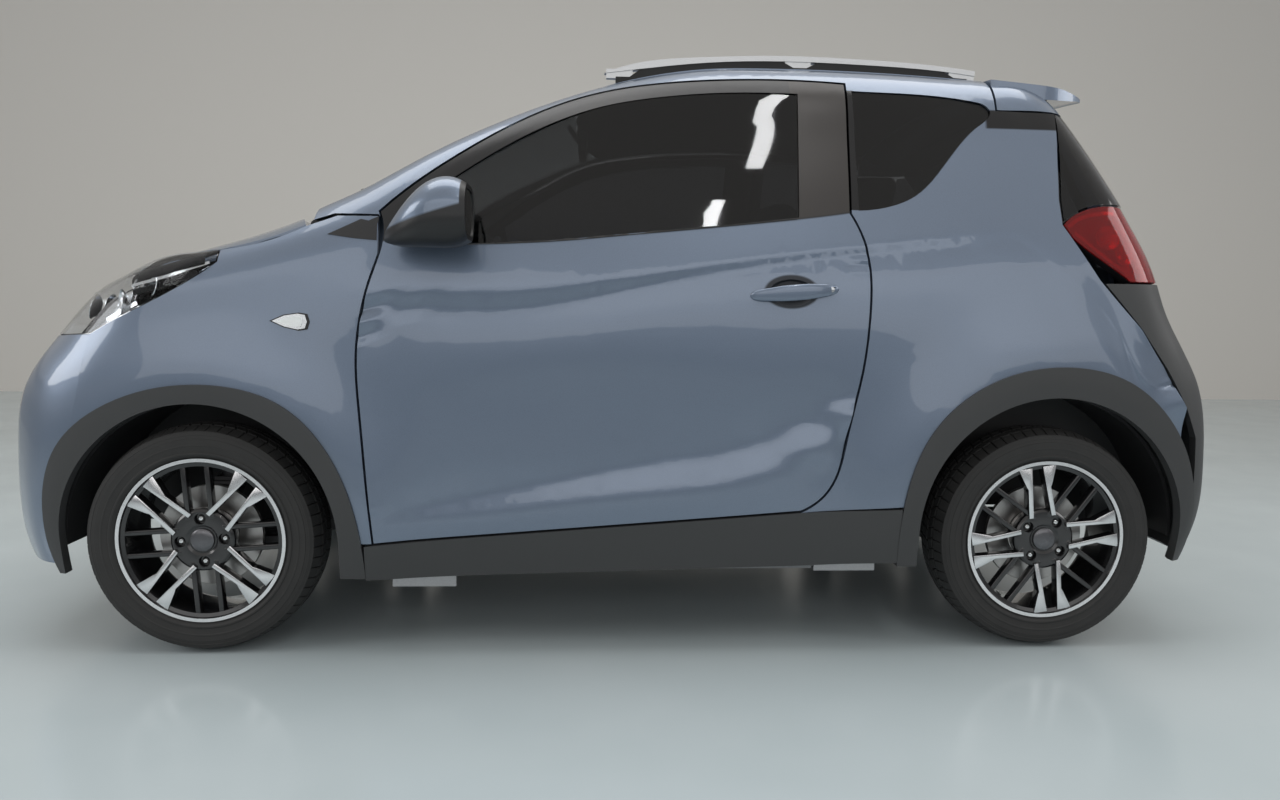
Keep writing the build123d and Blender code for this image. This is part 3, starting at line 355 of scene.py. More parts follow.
def turned(name, profile, centre, steps=96, side=1.0, closed=True):
    # a profile of (radius, out) points turned about a wheel's axle
    points = []
    for step in range(steps):
        angle = 2 * math.pi * step / steps
        for radius, out in profile:
            points.append((centre[0] + radius * math.cos(angle), centre[1] + side * out,
                           centre[2] + radius * math.sin(angle)))
    count = len(profile)
    faces = []
    for step in range(steps):
        here = step * count
        there = ((step + 1) % steps) * count
        for k in range(count if closed else count - 1):
            nextOne = (k + 1) % count
            faces.append((here + k, here + nextOne, there + nextOne, there + k))
    return meshOf(name, points, faces)


def prism(name, outline, low, high, place):
    # a flat outline of (a, b) points between two heights, put in place by a function of (a, b, h)
    count = len(outline)
    points = [place(a, b, low) for a, b in outline] + [place(a, b, high) for a, b in outline]
    faces = [tuple(range(count)), tuple(range(2 * count - 1, count - 1, -1))]
    faces += [(k, count + k, count + (k + 1) % count, (k + 1) % count) for k in range(count)]
    return meshOf(name, points, faces)


def bevelled(mesh, width, segments=2, angle=30.0):
    return baked(mesh, ("BEVEL", {"width": width, "segments": segments, "limit_method": "ANGLE",
                                  "angle_limit": math.radians(angle), "harden_normals": False}))


def ringTree():
    # blocks stood on a ring about the Y axis; inputs: Block, Count, Radius, Turn
    tree = bpy.data.node_groups.new("ringOfBlocks", "GeometryNodeTree")
    face = tree.interface
    face.new_socket("Geometry", in_out="OUTPUT", socket_type="NodeSocketGeometry")
    face.new_socket("Geometry", in_out="INPUT", socket_type="NodeSocketGeometry")
    face.new_socket("Count", in_out="INPUT", socket_type="NodeSocketInt")
    face.new_socket("Radius", in_out="INPUT", socket_type="NodeSocketFloat")
    face.new_socket("Turn", in_out="INPUT", socket_type="NodeSocketFloat")
    face.new_socket("Finish", in_out="INPUT", socket_type="NodeSocketMaterial")
    new = tree.nodes.new
    link = tree.links.new
    given = new("NodeGroupInput")
    out = new("NodeGroupOutput")
    line = new("GeometryNodeMeshLine")
    line.mode = "OFFSET"
    line.inputs["Offset"].default_value = (0, 0, 0)
    link(given.outputs["Count"], line.inputs["Count"])
    index = new("GeometryNodeInputIndex")
    share = new("ShaderNodeMath")
    share.operation = "DIVIDE"
    link(index.outputs[0], share.inputs[0])
    link(given.outputs["Count"], share.inputs[1])
    angle = new("ShaderNodeMath")
    angle.operation = "MULTIPLY_ADD"
    link(share.outputs[0], angle.inputs[0])
    angle.inputs[1].default_value = 2 * math.pi
    link(given.outputs["Turn"], angle.inputs[2])
    spin = new("ShaderNodeCombineXYZ")
    link(angle.outputs[0], spin.inputs["Y"])
    put = new("GeometryNodeInstanceOnPoints")
    link(line.outputs[0], put.inputs["Points"])
    link(given.outputs["Geometry"], put.inputs["Instance"])
    link(spin.outputs[0], put.inputs["Rotation"])
    lift = new("GeometryNodeTranslateInstances")
    link(put.outputs[0], lift.inputs["Instances"])
    reach = new("ShaderNodeCombineXYZ")
    link(given.outputs["Radius"], reach.inputs["Z"])
    link(reach.outputs[0], lift.inputs["Translation"])
    real = new("GeometryNodeRealizeInstances")
    link(lift.outputs[0], real.inputs[0])
    coat = new("GeometryNodeSetMaterial")
    link(real.outputs[0], coat.inputs["Geometry"])
    link(given.outputs["Finish"], coat.inputs["Material"])
    link(coat.outputs[0], out.inputs[0])
    return tree


blockRing = ringTree()


def ringed(mesh, count, radius, turn=0.0, look="rubber"):
    # one block repeated round the Y axis, as a plain mesh
    holder = addObject("holder", mesh)
    modifier = holder.modifiers.new("ring", "NODES")
    modifier.node_group = blockRing
    values = {"Count": count, "Radius": radius, "Turn": turn, "Finish": looks[look].material}
    for item in blockRing.interface.items_tree:
        if item.name in values:
            modifier[item.identifier] = values[item.name]
    bpy.context.view_layer.update()
    made = bpy.data.meshes.new_from_object(holder.evaluated_get(bpy.context.evaluated_depsgraph_get()))
    bpy.data.objects.remove(holder)
    made.materials.clear()
    return made


def moved(mesh, x=0.0, y=0.0, z=0.0):
    mesh.transform(Matrix.Translation((x, y, z)))
    return mesh


def mergedCopy(*names):
    # CAD nodes as one welded mesh, for measuring or cutting from
    work = bmesh.new()
    for name in names:
        work.from_mesh(nodes[name].data)
    bmesh.ops.remove_doubles(work, verts=work.verts, dist=0.00002)
    return work


trees = {}


def skinTree(name):
    if name not in trees:
        work = mergedCopy(name)
        trees[name] = BVHTree.FromBMesh(work)
        work.free()
    return trees[name]


def onSide(name, x, z, side=1.0):
    # where a ray from the side meets a node's skin, and the skin's normal there
    hit, normal, _, _ = skinTree(name).ray_cast(Vector((x, 1.4 * side, z)), Vector((0, -side, 0)))
    if hit is None:
        hit, normal, _, _ = skinTree(name).find_nearest(Vector((x, 0.8 * side, z)))
    if normal.y * side < 0:
        normal = -normal
    return hit, normal


def outward(work):
    bmesh.ops.recalc_face_normals(work, faces=work.faces)
    work.normal_update()
    return work


def patch(name, outline, skins, lift=0.001, thick=0.003, cell=0.014, side=1.0):
    # a thin sheet with a side-view outline of (x, z) points, laid on the skin of CAD nodes
    work = bmesh.new()
    work.faces.new([work.verts.new((x, 0, z)) for x, z in outline])
    for axis in (0, 2):
        low = min(v.co[axis] for v in work.verts)
        high = max(v.co[axis] for v in work.verts)
        normal = Vector((1, 0, 0)) if axis == 0 else Vector((0, 0, 1))
        for k in range(1, int((high - low) / cell) + 1):
            bmesh.ops.bisect_plane(work, geom=work.verts[:] + work.edges[:] + work.faces[:],
                                   plane_co=normal * (low + k * cell), plane_no=normal)
    seats = {}
    for vert in work.verts:
        best = None
        for skin in skins:
            hit, normal = onSide(skin, vert.co.x, vert.co.z, side)
            if best is None or hit.y * side > best[0].y * side:
                best = (hit, normal)
        seats[vert] = best
    for vert, (hit, normal) in seats.items():
        vert.co = hit + normal * lift
    top = work.faces[:]
    lifted = bmesh.ops.extrude_face_region(work, geom=top)
    pushed = [g for g in lifted["geom"] if isinstance(g, bmesh.types.BMVert)]
    for vert in pushed:
        vert.co -= Vector((0, side, 0)) * thick
    outward(work)
    mesh = bpy.data.meshes.new(name)
    work.to_mesh(mesh)
    work.free()
    return mesh


def strip(path, width):
    # the outline of a band along a side-view path; width is one value or a value at each point
    wide = width if isinstance(width, (list, tuple)) else [width] * len(path)
    left, right = [], []
    for k, (x, z) in enumerate(path):
        before = Vector(path[max(k - 1, 0)])
        after = Vector(path[min(k + 1, len(path) - 1)])
        along = (after - before).normalized()
        across = Vector((-along.y, along.x)) * wide[k] / 2
        left.append((x + across.x, z + across.y))
        right.append((x - across.x, z - across.y))
    return left + right[::-1]


def smoothPath(points, steps=6):
    # a smooth line through side-view points
    made = []
    for k in range(len(points) - 1):
        p0 = Vector(points[max(k - 1, 0)])
        p1, p2 = Vector(points[k]), Vector(points[k + 1])
        p3 = Vector(points[min(k + 2, len(points) - 1)])
        for step in range(steps):
            t = step / steps
            made.append(0.5 * (2 * p1 + (p2 - p0) * t + (2 * p0 - 5 * p1 + 4 * p2 - p3) * t * t
                               + (3 * p1 - p0 - 3 * p2 + p3) * t ** 3))
    made.append(Vector(points[-1]))
    return [tuple(p) for p in made]


def mirrored(mesh):
    # the same piece for the other side of the car
    copy = mesh.copy()
    copy.transform(Matrix.Scale(-1, 4, (0, 1, 0)))
    copy.flip_normals()
    return copy


def bothSides(name, mesh, bodies, lookNames, **more):
    made = []
    for side, copy, body in (("left", mesh, bodies[0]), ("right", mirrored(mesh), bodies[1])):
        made.append(finish(f"{name}_{side}", copy, body, lookNames, **more))
    return made


def outerSkin(name, middle, least=0.3):
    # the faces of a thin CAD piece that look away from a point inside the car
    work = outward(mergedCopy(name))
    inner = [f for f in work.faces if f.normal.dot((f.calc_center_median() - Vector(middle)).normalized()) < least]
    bmesh.ops.delete(work, geom=inner, context="FACES")
    bmesh.ops.dissolve_degenerate(work, edges=work.edges, dist=0.00005)
    work.normal_update()
    return work


def shell(work, name, start, thick):
    # a wall of even thickness under an open skin, starting at a depth below it
    work.verts.index_update()
    count = len(work.verts)
    points = [v.co - v.normal * start for v in work.verts] + [v.co - v.normal * (start + thick) for v in work.verts]
    faces = [[v.index for v in f.verts] for f in work.faces]
    faces += [[v.index + count for v in reversed(f.verts)] for f in work.faces]
    for edge in work.edges:
        if len(edge.link_faces) == 1:
            a, b = (v.index for v in edge.verts)
            faces.append((a, b, b + count, a + count))
    return meshOf(name, points, faces)


def tray(work, name, start, deep, thick=0.0015):
    # the walls and floor of a dish under an open skin
    work.verts.index_update()
    count = len(work.verts)
    points = [v.co - v.normal * start for v in work.verts] + [v.co - v.normal * (start + deep) for v in work.verts]
    faces = [[v.index + count for v in f.verts] for f in work.faces]
    for edge in work.edges:
        if len(edge.link_faces) == 1:
            a, b = (v.index for v in edge.verts)
            faces.append((a, b, b + count, a + count))
    mesh = meshOf(name, points, faces)
    fixed = bmesh.new()
    fixed.from_mesh(mesh)
    used = [v for v in fixed.verts if not v.link_faces]
    bmesh.ops.delete(fixed, geom=used, context="VERTS")
    outward(fixed)
    fixed.to_mesh(mesh)
    fixed.free()
    return baked(mesh, ("SOLIDIFY", {"thickness": thick, "offset": 0.0}))


hall = {"floorHalf": 9.0, "wallBack": -6.0, "wallHigh": 7.0}


def addStage():
    half = hall["floorHalf"]
    floorMesh = meshOf("floor", [(-half, -half, 0), (half, -half, 0), (half, half, 0), (-half, half, 0)], [(0, 1, 2, 3)])
    look = Look("floorPaint", (0.46, 0.53, 0.55), 0.2)
    stain = look.noise(1.6)
    look.set(Roughness=stain * 0.22 + 0.08, Base_Color=look.mix(stain, (0.42, 0.49, 0.51), (0.52, 0.58, 0.60)))
    floorMesh.materials.append(look.material)
    back = hall["wallBack"]
    high = hall["wallHigh"]
    wallMesh = meshOf("backdrop", [(-half, back, 0), (half, back, 0), (half, back, high), (-half, back, high)],
                      [(0, 3, 2, 1)])
    wallLook = Look("wallPaint", (0.72, 0.69, 0.65), 0.8)
    wallLook.bump(wallLook.noise(40.0), 0.05)
    wallMesh.materials.append(wallLook.material)
    addObject("floor", floorMesh)
    addObject("backdrop", wallMesh)


def addLamp(name, place, aim, size, power, colour=(1, 1, 1)):
    data = bpy.data.lights.new(name, "AREA")
    data.shape = "RECTANGLE"
    data.size, data.size_y = size
    data.energy = power
    data.color = colour
    lamp = bpy.data.objects.new(name, data)
    lamp.location = place
    lamp.rotation_euler = (Vector(aim) - Vector(place)).to_track_quat("-Z", "Y").to_euler()
    lamp.visible_camera = False
    scene.collection.objects.link(lamp)


lamps = {
    "overhead": ((0.0, 0.3, 4.6), (0.0, 0.0, 0.0), (6.0, 2.6), 115),
    "sideWall": ((0.0, 7.0, 2.4), (0.0, 0.0, 0.9), (12.0, 2.4), 85),
    "nearTube": ((-1.06, 3.05, 4.2), (-1.06, 3.05, 0.0), (0.12, 1.4), 10),
    "farTube": ((-0.88, 4.75, 4.2), (-0.88, 4.75, 0.0), (0.10, 0.75), 6),
    "frontFill": ((5.5, 2.2, 2.6), (1.2, 0.0, 0.6), (2.6, 2.0), 60),
    "rearFill": ((-5.5, 1.5, 2.8), (-1.2, 0.0, 0.8), (2.6, 2.0), 45),
}


def addLight():
    for name, (place, aim, size, power) in lamps.items():
        addLamp(name, place, aim, size, power)
    world = bpy.data.worlds.new("world")
    world.use_nodes = True
    tree = world.node_tree
    ground = tree.nodes["Background"]
    split = tree.nodes.new("ShaderNodeSeparateXYZ")
    tree.links.new(tree.nodes.new("ShaderNodeTexCoord").outputs["Generated"], split.inputs[0])
    ramp = tree.nodes.new("ShaderNodeValToRGB")
    tree.links.new(split.outputs["Z"], ramp.inputs["Fac"])
    stops = ramp.color_ramp.elements
    stops[0].position = 0.0
    stops[0].color = (0.34, 0.36, 0.38, 1)
    stops[1].position = 0.62
    stops[1].color = (0.95, 0.93, 0.90, 1)
    for place, grey in ((0.10, 0.50), (0.16, 0.30), (0.22, 0.72), (0.40, 0.80)):
        stop = stops.new(place)
        stop.color = (grey, grey * 0.99, grey * 0.98, 1)
    tree.links.new(ramp.outputs["Color"], ground.inputs["Color"])
    ground.inputs["Strength"].default_value = 0.62
    scene.world = world


addStage()
addLight()
print("stage, light and camera set")


beltLine = [(0.706, 1.040), (0.585, 1.033), (0.343, 1.029), (-0.048, 1.063), (-0.441, 1.102), (-0.620, 1.128)]
pillarPanel = {"front": -0.436, "rear": -0.640, "lift": 0.004}
spoilerShade = {"front": -0.948, "low": 1.352, "high": 1.402}
quarterShade = {"front": -0.550, "rear": -0.602, "low": 1.1290, "high": 1.4450}


def curveWire(look, source, points, low, high):
    # a smooth curve through (position, value) points, as a wire that follows source
    node = look.tree.nodes.new("ShaderNodeFloatCurve")
    first, last = min(p[0] for p in points), max(p[0] for p in points)
    scaled = sorted(((a - first) / (last - first), (b - low) / (high - low)) for a, b in points)
    curve = node.mapping.curves[0]
    curve.points[0].location = scaled[0]
    curve.points[1].location = scaled[-1]
    for a, b in scaled[1:-1]:
        curve.points.new(a, b)
    node.mapping.update()
    share = (source - first) / (last - first)
    look.tree.links.new(share.join("MAXIMUM", 0.0).join("MINIMUM", 1.0).socket, node.inputs["Value"])
    return Wire(look.tree, node.outputs["Value"]) * (high - low) + low


def facing(look, axis):
    # the surface's own direction along one axis of the car
    split = look.tree.nodes.new("ShaderNodeSeparateXYZ")
    look.tree.links.new(look.coords.node.outputs["Normal"], split.inputs[0])
    return Wire(look.tree, split.outputs["XYZ".index(axis)])


def overlay(look, share, colour, rough, metal=0.0, coat=0.0):
    # a second finish over a look, where share is 1
    shader = look.shader
    old = shader.inputs["Base Color"]
    under = Wire(look.tree, old.links[0].from_socket) if old.is_linked else old.default_value[:3]
    look.set(Base_Color=look.mix(share, under, colour))
    for key, value in (("Roughness", rough), ("Metallic", metal), ("Coat Weight", coat)):
        slot = shader.inputs[key]
        under = Wire(look.tree, slot.links[0].from_socket) if slot.is_linked else (share * 0.0 + slot.default_value)
        look.tree.links.new((under + (under * -1.0 + value) * share).socket, slot)


def makeDoorPaint(name, side):
    # body colour below the belt line, black frame above it, a satin panel on the rear pillar, trim inside, and painted
    # shade in the handle cup
    look = makePaint(name)
    belt = curveWire(look, look.x, beltLine, 1.0, 1.2)
    frameShare = look.z.above(belt, 0.002)
    overlay(look, frameShare, (0.011, 0.011, 0.012), 0.32)
    pillar = frameShare * (look.x * -1.0).above(-pillarPanel["front"]) * look.z.above(belt + pillarPanel["lift"])
    overlay(look, pillar, (0.040, 0.036, 0.034), 0.30, 0.2)
    inside = (facing(look, "Y") * -side).above(0.30, 0.1)
    overlay(look, inside, (0.040, 0.040, 0.042), 0.62)
    # painted shade: inside the handle cup, where the skin lies deeper than y 0.808, the paint turns dark navy to stand
    # for the shade in the recess
    across = (look.x + 0.425) * 14.6
    rise = (look.z - 0.923) * 24.0
    cup = (across * across + rise * rise).above(1.0, 0.1).outOf() * (look.y * side).above(0.8080, 0.001).outOf()
    overlay(look, cup, (0.020, 0.024, 0.032), 0.5)
    return look


def makeSidePaint(name, side):
    # body colour, with the black strip below the spoiler and cabin trim inside
    look = makePaint(name)
    shade = look.z.above(spoilerShade["low"], 0.002) * (look.x * -1.0).above(-spoilerShade["front"], 0.004)
    overlay(look, shade * look.z.above(spoilerShade["high"], 0.002).outOf(), (0.005, 0.005, 0.006), 0.28)
    post = (look.x * -1.0).above(-quarterShade["front"], 0.001) * (look.x * -1.0).above(-quarterShade["rear"], 0.001).outOf()
    post = post * look.z.above(quarterShade["low"], 0.001) * look.z.above(quarterShade["high"], 0.001).outOf()
    overlay(look, post, (0.008, 0.008, 0.009), 0.16)
    inside = (facing(look, "Y") * -side).above(0.30, 0.1)
    overlay(look, inside, (0.040, 0.040, 0.042), 0.62)
    return look


def makeMirrorPaint(name, side):
    # body colour cap, black below and round the mouth, black foot
    look = makePaint(name)
    low = (look.z + (look.x - 0.548) * 0.30).above(1.052, 0.003).outOf()
    overlay(look, low, (0.012, 0.012, 0.013), 0.38)
    mouth = (look.x * -1.0).above(-0.366, 0.001)
    overlay(look, mouth, (0.012, 0.012, 0.013), 0.38)
    return look


def makeTrimmed(name, limit):
    # body colour outside, primer grey on faces that look down or into the car
    look = makePaint(name)
    inside = (facing(look, "Z") * -1.0).above(limit, 0.1)
    overlay(look, inside, (0.060, 0.062, 0.066), 0.6)
    return look


for side, sign in (("left", 1.0), ("right", -1.0)):
    looks["door_" + side] = makeDoorPaint("doorPaint_" + side, sign)
    looks["side_" + side] = makeSidePaint("sidePaint_" + side, sign)
    looks["mirror_" + side] = makeMirrorPaint("mirrorPaint_" + side, sign)
looks["roofPaint"] = makeTrimmed("roofPaint", 0.3)
looks["mirrorGlass"] = makeMetal("mirrorGlass", (0.62, 0.60, 0.56), 0.09)
looks["wiperBlack"] = makePlastic("wiperBlack", (0.010, 0.010, 0.011), 0.4, 300.0, 0.1)
looks["leather"] = makePlastic("leather", (0.030, 0.029, 0.030), 0.5, 700.0, 0.5)
looks["screenBlack"] = makeGlossBlack("screenBlack", (0.010, 0.012, 0.016), 0.04)


wheels = {name: [(a + b) / 2 for a, b in zip(*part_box("tyre_" + name))]
          for name in ("front_left", "front_right", "rear_left", "rear_right")}
tyre = {"radius": 0.290, "half": 0.0825, "bead": 0.206, "groove": 0.008, "rows": 64}


def crown(out):
    # radius of the tread at a distance from its middle
    return tyre["radius"] - 0.009 * (out / (tyre["half"] - 0.014)) ** 2


def tyreProfile():
    half = tyre["half"]
    wall = [(tyre["bead"], 0.070), (0.2085, 0.0745), (0.2150, 0.0785), (0.2185, 0.0815), (0.2220, 0.0815),
            (0.2240, 0.0795), (0.2380, 0.0812), (0.2390, 0.0820), (0.2420, 0.0820), (0.2430, 0.0813),
            (0.2560, 0.0812), (0.2570, 0.0800), (0.2640, 0.0790), (0.2700, 0.0765), (0.2740, 0.0715)]
    floor = [(crown(out) - tyre["groove"], out) for out in (0.060, 0.030, 0.0)]
    one = [(r, w * half / 0.0825) for r, w in wall] + floor
    return one + [(r, -w) for r, w in one[-2::-1]] + [(0.196, -0.062), (0.196, 0.062)]


def treadBlock(out, wide, long, skew, drop=0.0):
    # one tread block: its outer face follows the crown
    points = []
    for down in (0.0, 1.0):
        for across, along in ((-1, -1), (1, -1), (1, 1), (-1, 1)):
            place = out + across * wide / 2
            top = crown(min(abs(place), 0.0685)) - (drop if across * out > 0 else 0.0)
            points.append((along * long / 2 + across * skew, place, top - down * (tyre["groove"] + 0.003)))
    mesh = meshOf("block", points, [(0, 1, 2, 3), (7, 6, 5, 4), (0, 4, 5, 1), (1, 5, 6, 2), (2, 6, 7, 3), (3, 7, 4, 0)])
    return bevelled(mesh, 0.0012, 1)


def addTyre(name):
    place = wheels[name]
    side = 1.0 if name.endswith("left") else -1.0
    parts = [turned("carcass", tyreProfile(), (0, 0, 0), 112)]
    rows = tyre["rows"]
    for out, wide, count, skew, drop in ((0.0, 0.019, rows, 0.004, 0.0), (0.0255, 0.021, rows, -0.003, 0.0),
                                         (-0.0255, 0.021, rows, 0.003, 0.0), (0.0590, 0.034, rows, 0.0015, 0.006),
                                         (-0.0590, 0.034, rows, -0.0015, 0.006)):
        long = 2 * math.pi * tyre["radius"] / count - 0.0035
        parts.append(ringed(treadBlock(out, wide, long, skew, drop), count, 0.0, abs(out) * 3))
    lug = meshOf("lug", [(-0.009, 0.0745, 0.2755), (0.009, 0.0745, 0.2755), (0.009, 0.0800, 0.2640), (-0.009, 0.0800, 0.2640),
                         (-0.009, 0.060, 0.2755), (0.009, 0.060, 0.2755), (0.009, 0.060, 0.2640), (-0.009, 0.060, 0.2640)],
                 [(0, 1, 2, 3), (7, 6, 5, 4), (0, 4, 5, 1), (1, 5, 6, 2), (2, 6, 7, 3), (3, 7, 4, 0)])
    parts.append(ringed(bevelled(lug, 0.0012, 1), rows, 0.0))
    parts.append(ringed(bevelled(lug.copy(), 0.0012, 1), rows, 0.0, math.pi / rows))
    mesh = joined("tyre_" + name, parts)
    mesh.transform(Matrix.Scale(side, 4, (0, 1, 0)))
    moved(mesh, *place)
    made = finish("tyre_" + name + "_rubber", mesh, "wheel_" + name, [makeTyreLook(name, place)], 30, "tyre")
    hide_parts("tyre_" + name)


def makeTyreLook(name, place):
    look = Look("tyreRubber_" + name, (0.017, 0.017, 0.017), 0.72)
    across = look.x - place[0]
    rise = look.z - place[2]
    radius = (across * across + rise * rise).join("SQRT")
    ribs = radius.wave(0.0028) * radius.above(0.226).join("MULTIPLY", radius.above(0.236).outOf())
    dust = look.noise(26.0, 6.0)
    look.set(Base_Color=look.mix(dust * 0.8, (0.013, 0.013, 0.013), (0.042, 0.041, 0.040)))
    look.set(Roughness=dust * 0.25 + 0.6)
    return look.bump(ribs + look.noise(900.0) * 0.4, 0.35, 0.0005)


alloy = {"seat": 0.194, "lip": 0.073, "face": 0.074, "deep": 0.030, "hub": 0.078, "halfGap": 0.029, "bar": 0.0065,
         "bolts": 0.054, "cap": 0.030, "turn": {"front": 4.0, "rear": 54.0}}


def spokePlace(angle, side=1.0):
    # from (along the spoke, across it, out of the wheel) to the wheel's own place
    def place(along, across, out):
        return (-(along * math.cos(angle) - across * math.sin(angle)), out,
                along * math.sin(angle) + across * math.cos(angle))
    return place


def rimParts():
    seat, lip = alloy["seat"], alloy["lip"]
    barrel = turned("barrel", [
        (seat, -lip), (0.208, -lip), (0.209, -lip - 0.003), (0.208, -lip - 0.006), (seat - 0.002, -lip - 0.006),
        (seat - 0.010, -lip + 0.02), (seat - 0.010, lip - 0.02), (seat - 0.007, lip - 0.002), (seat + 0.002, lip + 0.001),
        (seat + 0.0035, lip + 0.0045), (seat + 0.0045, lip + 0.0058), (0.2070, lip + 0.0060), (0.2085, lip + 0.004),
        (0.2080, lip), (seat, lip)], (0, 0, 0), 128)
    bright = [1 if (abs(p.center.y - lip - 0.006) < 0.0011 and p.center.xz.length > seat + 0.004) else 0
              for p in barrel.polygons]
    barrel.polygons.foreach_set("material_index", bright)
    parts = [barrel]
    hub = turned("hub", [(0.002, 0.066), (0.034, 0.066), (0.040, 0.070), (0.072, 0.070), (0.078, 0.066), (0.080, 0.058),
                         (0.080, 0.044), (0.002, 0.044)], (0, 0, 0), 96)
    pockets = joined("pockets", [moved(turned("pocket", [(0.0002, 0.054), (0.0135, 0.054), (0.0145, 0.09), (0.0002, 0.09)],
                                              (0, 0, 0), 32), alloy["bolts"] * math.cos(a), 0, alloy["bolts"] * math.sin(a))
                                 for a in (0, math.pi / 2, math.pi, 1.5 * math.pi)])
    cutter = addObject("cutter", pockets)
    parts.append(bevelled(baked(hub, ("BOOLEAN", {"operation": "DIFFERENCE", "object": cutter, "solver": "EXACT"})), 0.0008))
    bpy.data.objects.remove(cutter)
    for k in range(4):
        plain = spokePlace(k * math.pi / 2)
        wedge = spokePlace(k * math.pi / 2 + math.pi / 4)
        for sign in (-1, 1):
            middle = sign * alloy["halfGap"]
            bar = [(0.052, middle - alloy["bar"]), (0.190, middle - alloy["bar"]), (0.190, middle + alloy["bar"]),
                   (0.052, middle + alloy["bar"])]
            parts.append(bevelled(prism("bar", bar, 0.046, 0.071, plain), 0.003, 3))
            blade = [(0.060, 0.0240), (0.1925, 0.0140), (0.1925, 0.0500), (0.1440, 0.0335), (0.1370, 0.0300),
                     (0.060, 0.0355)]
            solid = bevelled(prism("blade", [(a, sign * b) for a, b in blade], 0.046, 0.0755, wedge), 0.0009, 2)
            solid.polygons.foreach_set("material_index", [
                1 if (p.normal.y > 0.98 or p.center.y > 0.0752) and p.center.xz.length > 0.082 else 0
                for p in solid.polygons])
            parts.append(solid)
    cap = turned("cap", [(0.0003, 0.0745), (0.016, 0.0740), (0.0255, 0.0720), (0.0285, 0.0700), (0.0300, 0.0665),
                         (0.0300, 0.060), (0.0003, 0.060)], (0, 0, 0), 48)
    parts.append(marked(cap, 2))
    nutProfile = [(0.0003, 0.0655), (0.0050, 0.0650), (0.0080, 0.0628), (0.0092, 0.0600), (0.0095, 0.0540), (0.0003, 0.0540)]
    nut = moved(turned("nut", nutProfile, (0, 0, 0), 6), 0, 0, alloy["bolts"])
    parts.append(marked(ringed(bevelled(nut, 0.0006, 2), 4, 0.0), 3))
    stem = turned("stem", [(0.0003, 0.020), (0.0042, 0.018), (0.0045, 0.004), (0.0055, 0.0), (0.0003, 0.0)], (0, 0, 0), 16)
    stem.transform(Matrix.Translation((0.187, 0.048, 0)))
    parts.append(marked(stem, 4))
    return parts


def discParts():
    hat = turned("hat", [(0.018, 0.010), (0.066, 0.010), (0.070, 0.014), (0.070, 0.044), (0.018, 0.044)], (0, 0, 0), 64)
    face = turned("discFace", [(0.070, 0.010), (0.128, 0.010), (0.129, 0.009), (0.129, 0.0045), (0.070, 0.0045)], (0, 0, 0), 96)
    rear = turned("discRear", [(0.070, -0.002), (0.129, -0.002), (0.129, 0.0005), (0.070, 0.0005)], (0, 0, 0), 96)
    vane = meshOf("vane", [(-0.002, 0.0005, 0.074), (0.002, 0.0005, 0.074), (0.002, 0.0045, 0.074), (-0.002, 0.0045, 0.074),
                           (-0.002, 0.0005, 0.127), (0.002, 0.0005, 0.127), (0.002, 0.0045, 0.127), (-0.002, 0.0045, 0.127)],
                  [(0, 1, 2, 3), (7, 6, 5, 4), (0, 4, 5, 1), (1, 5, 6, 2), (2, 6, 7, 3), (3, 7, 4, 0)])
    vanes = ringed(vane, 36, 0.0)
    return [marked(mesh, 5) for mesh in (hat, face, rear, vanes)]


def addWheel(name):
    place = wheels[name]
    side = 1.0 if name.endswith("left") else -1.0
    mesh = joined("wheel_" + name, rimParts() + discParts())
    mesh.transform(Matrix.Rotation(math.radians(alloy["turn"][name.split("_")[0]]), 4, "Y"))
    mesh.transform(Matrix.Scale(side, 4, (0, 1, 0)))
    moved(mesh, *place)
    bright = makeTurned("machinedAlloy_" + name, (0.80, 0.80, 0.81), 0.16, place, 0.0016)
    disc = makeTurned("brakeDisc_" + name, (0.45, 0.44, 0.43), 0.32, place, 0.0022)
    made = finish("rim_" + name + "_alloy", mesh, "wheel_" + name,
                  ["alloyBlack", bright, "capGrey", "nutChrome", "rubber", disc], 32, "alloy")
    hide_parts("rim_" + name)


looks["alloyBlack"] = makeGlossBlack("alloyBlack", (0.010, 0.010, 0.011), 0.22)
looks["capGrey"] = makeMetal("capGrey", (0.16, 0.16, 0.17), 0.30, None, 90.0, 0.9)
looks["nutChrome"] = makeMetal("nutChrome", (0.80, 0.80, 0.80), 0.12)
for wheelName in wheels:
    addTyre(wheelName)
    addWheel(wheelName)
print("wheels and tyres made")


looks["clearLens"] = makeGlass("clearLens", (0.96, 0.97, 0.98), 0.01, 1.0, 1.16)
looks["redLens"] = makeGlass("redLens", (0.62, 0.015, 0.02), 0.05, 0.85)
looks["redDeep"] = makeGlass("redDeep", (0.22, 0.006, 0.008), 0.12, 0.5)
looks["chrome"] = makeMetal("chrome", (0.86, 0.87, 0.88), 0.06)
looks["lampSilver"] = makeMetal("lampSilver", (0.66, 0.68, 0.70), 0.22)
looks["lampBlack"] = makePlastic("lampBlack", (0.006, 0.006, 0.007), 0.7, 500.0, 0.05)
looks["lampBlack"].shader.inputs["Specular IOR Level"].default_value = 0.15
looks["whiteDiffuser"] = makePlastic("whiteDiffuser", (0.72, 0.74, 0.74), 0.35, 200.0, 0.05)
looks["amber"] = makeGlass("amber", (0.85, 0.33, 0.03), 0.06, 0.6)

headlamp = {"middle": (0.95, 0.25, 0.70), "deep": 0.034, "lens": 0.003,
            "topStreak": [(1.196, 0.921), (1.144, 0.935), (1.081, 0.952), (1.020, 0.972), (0.998, 0.980)],
            "blackStreak": [(1.190, 0.905), (1.140, 0.917), (1.078, 0.935), (1.024, 0.954)],
            "browStreak": [(1.186, 0.944), (1.130, 0.958), (1.062, 0.975), (1.012, 0.988)],
            "lowStreak": [(1.262, 0.838), (1.222, 0.858), (1.180, 0.880)],
            "ribs": 13, "eye": 0.872}


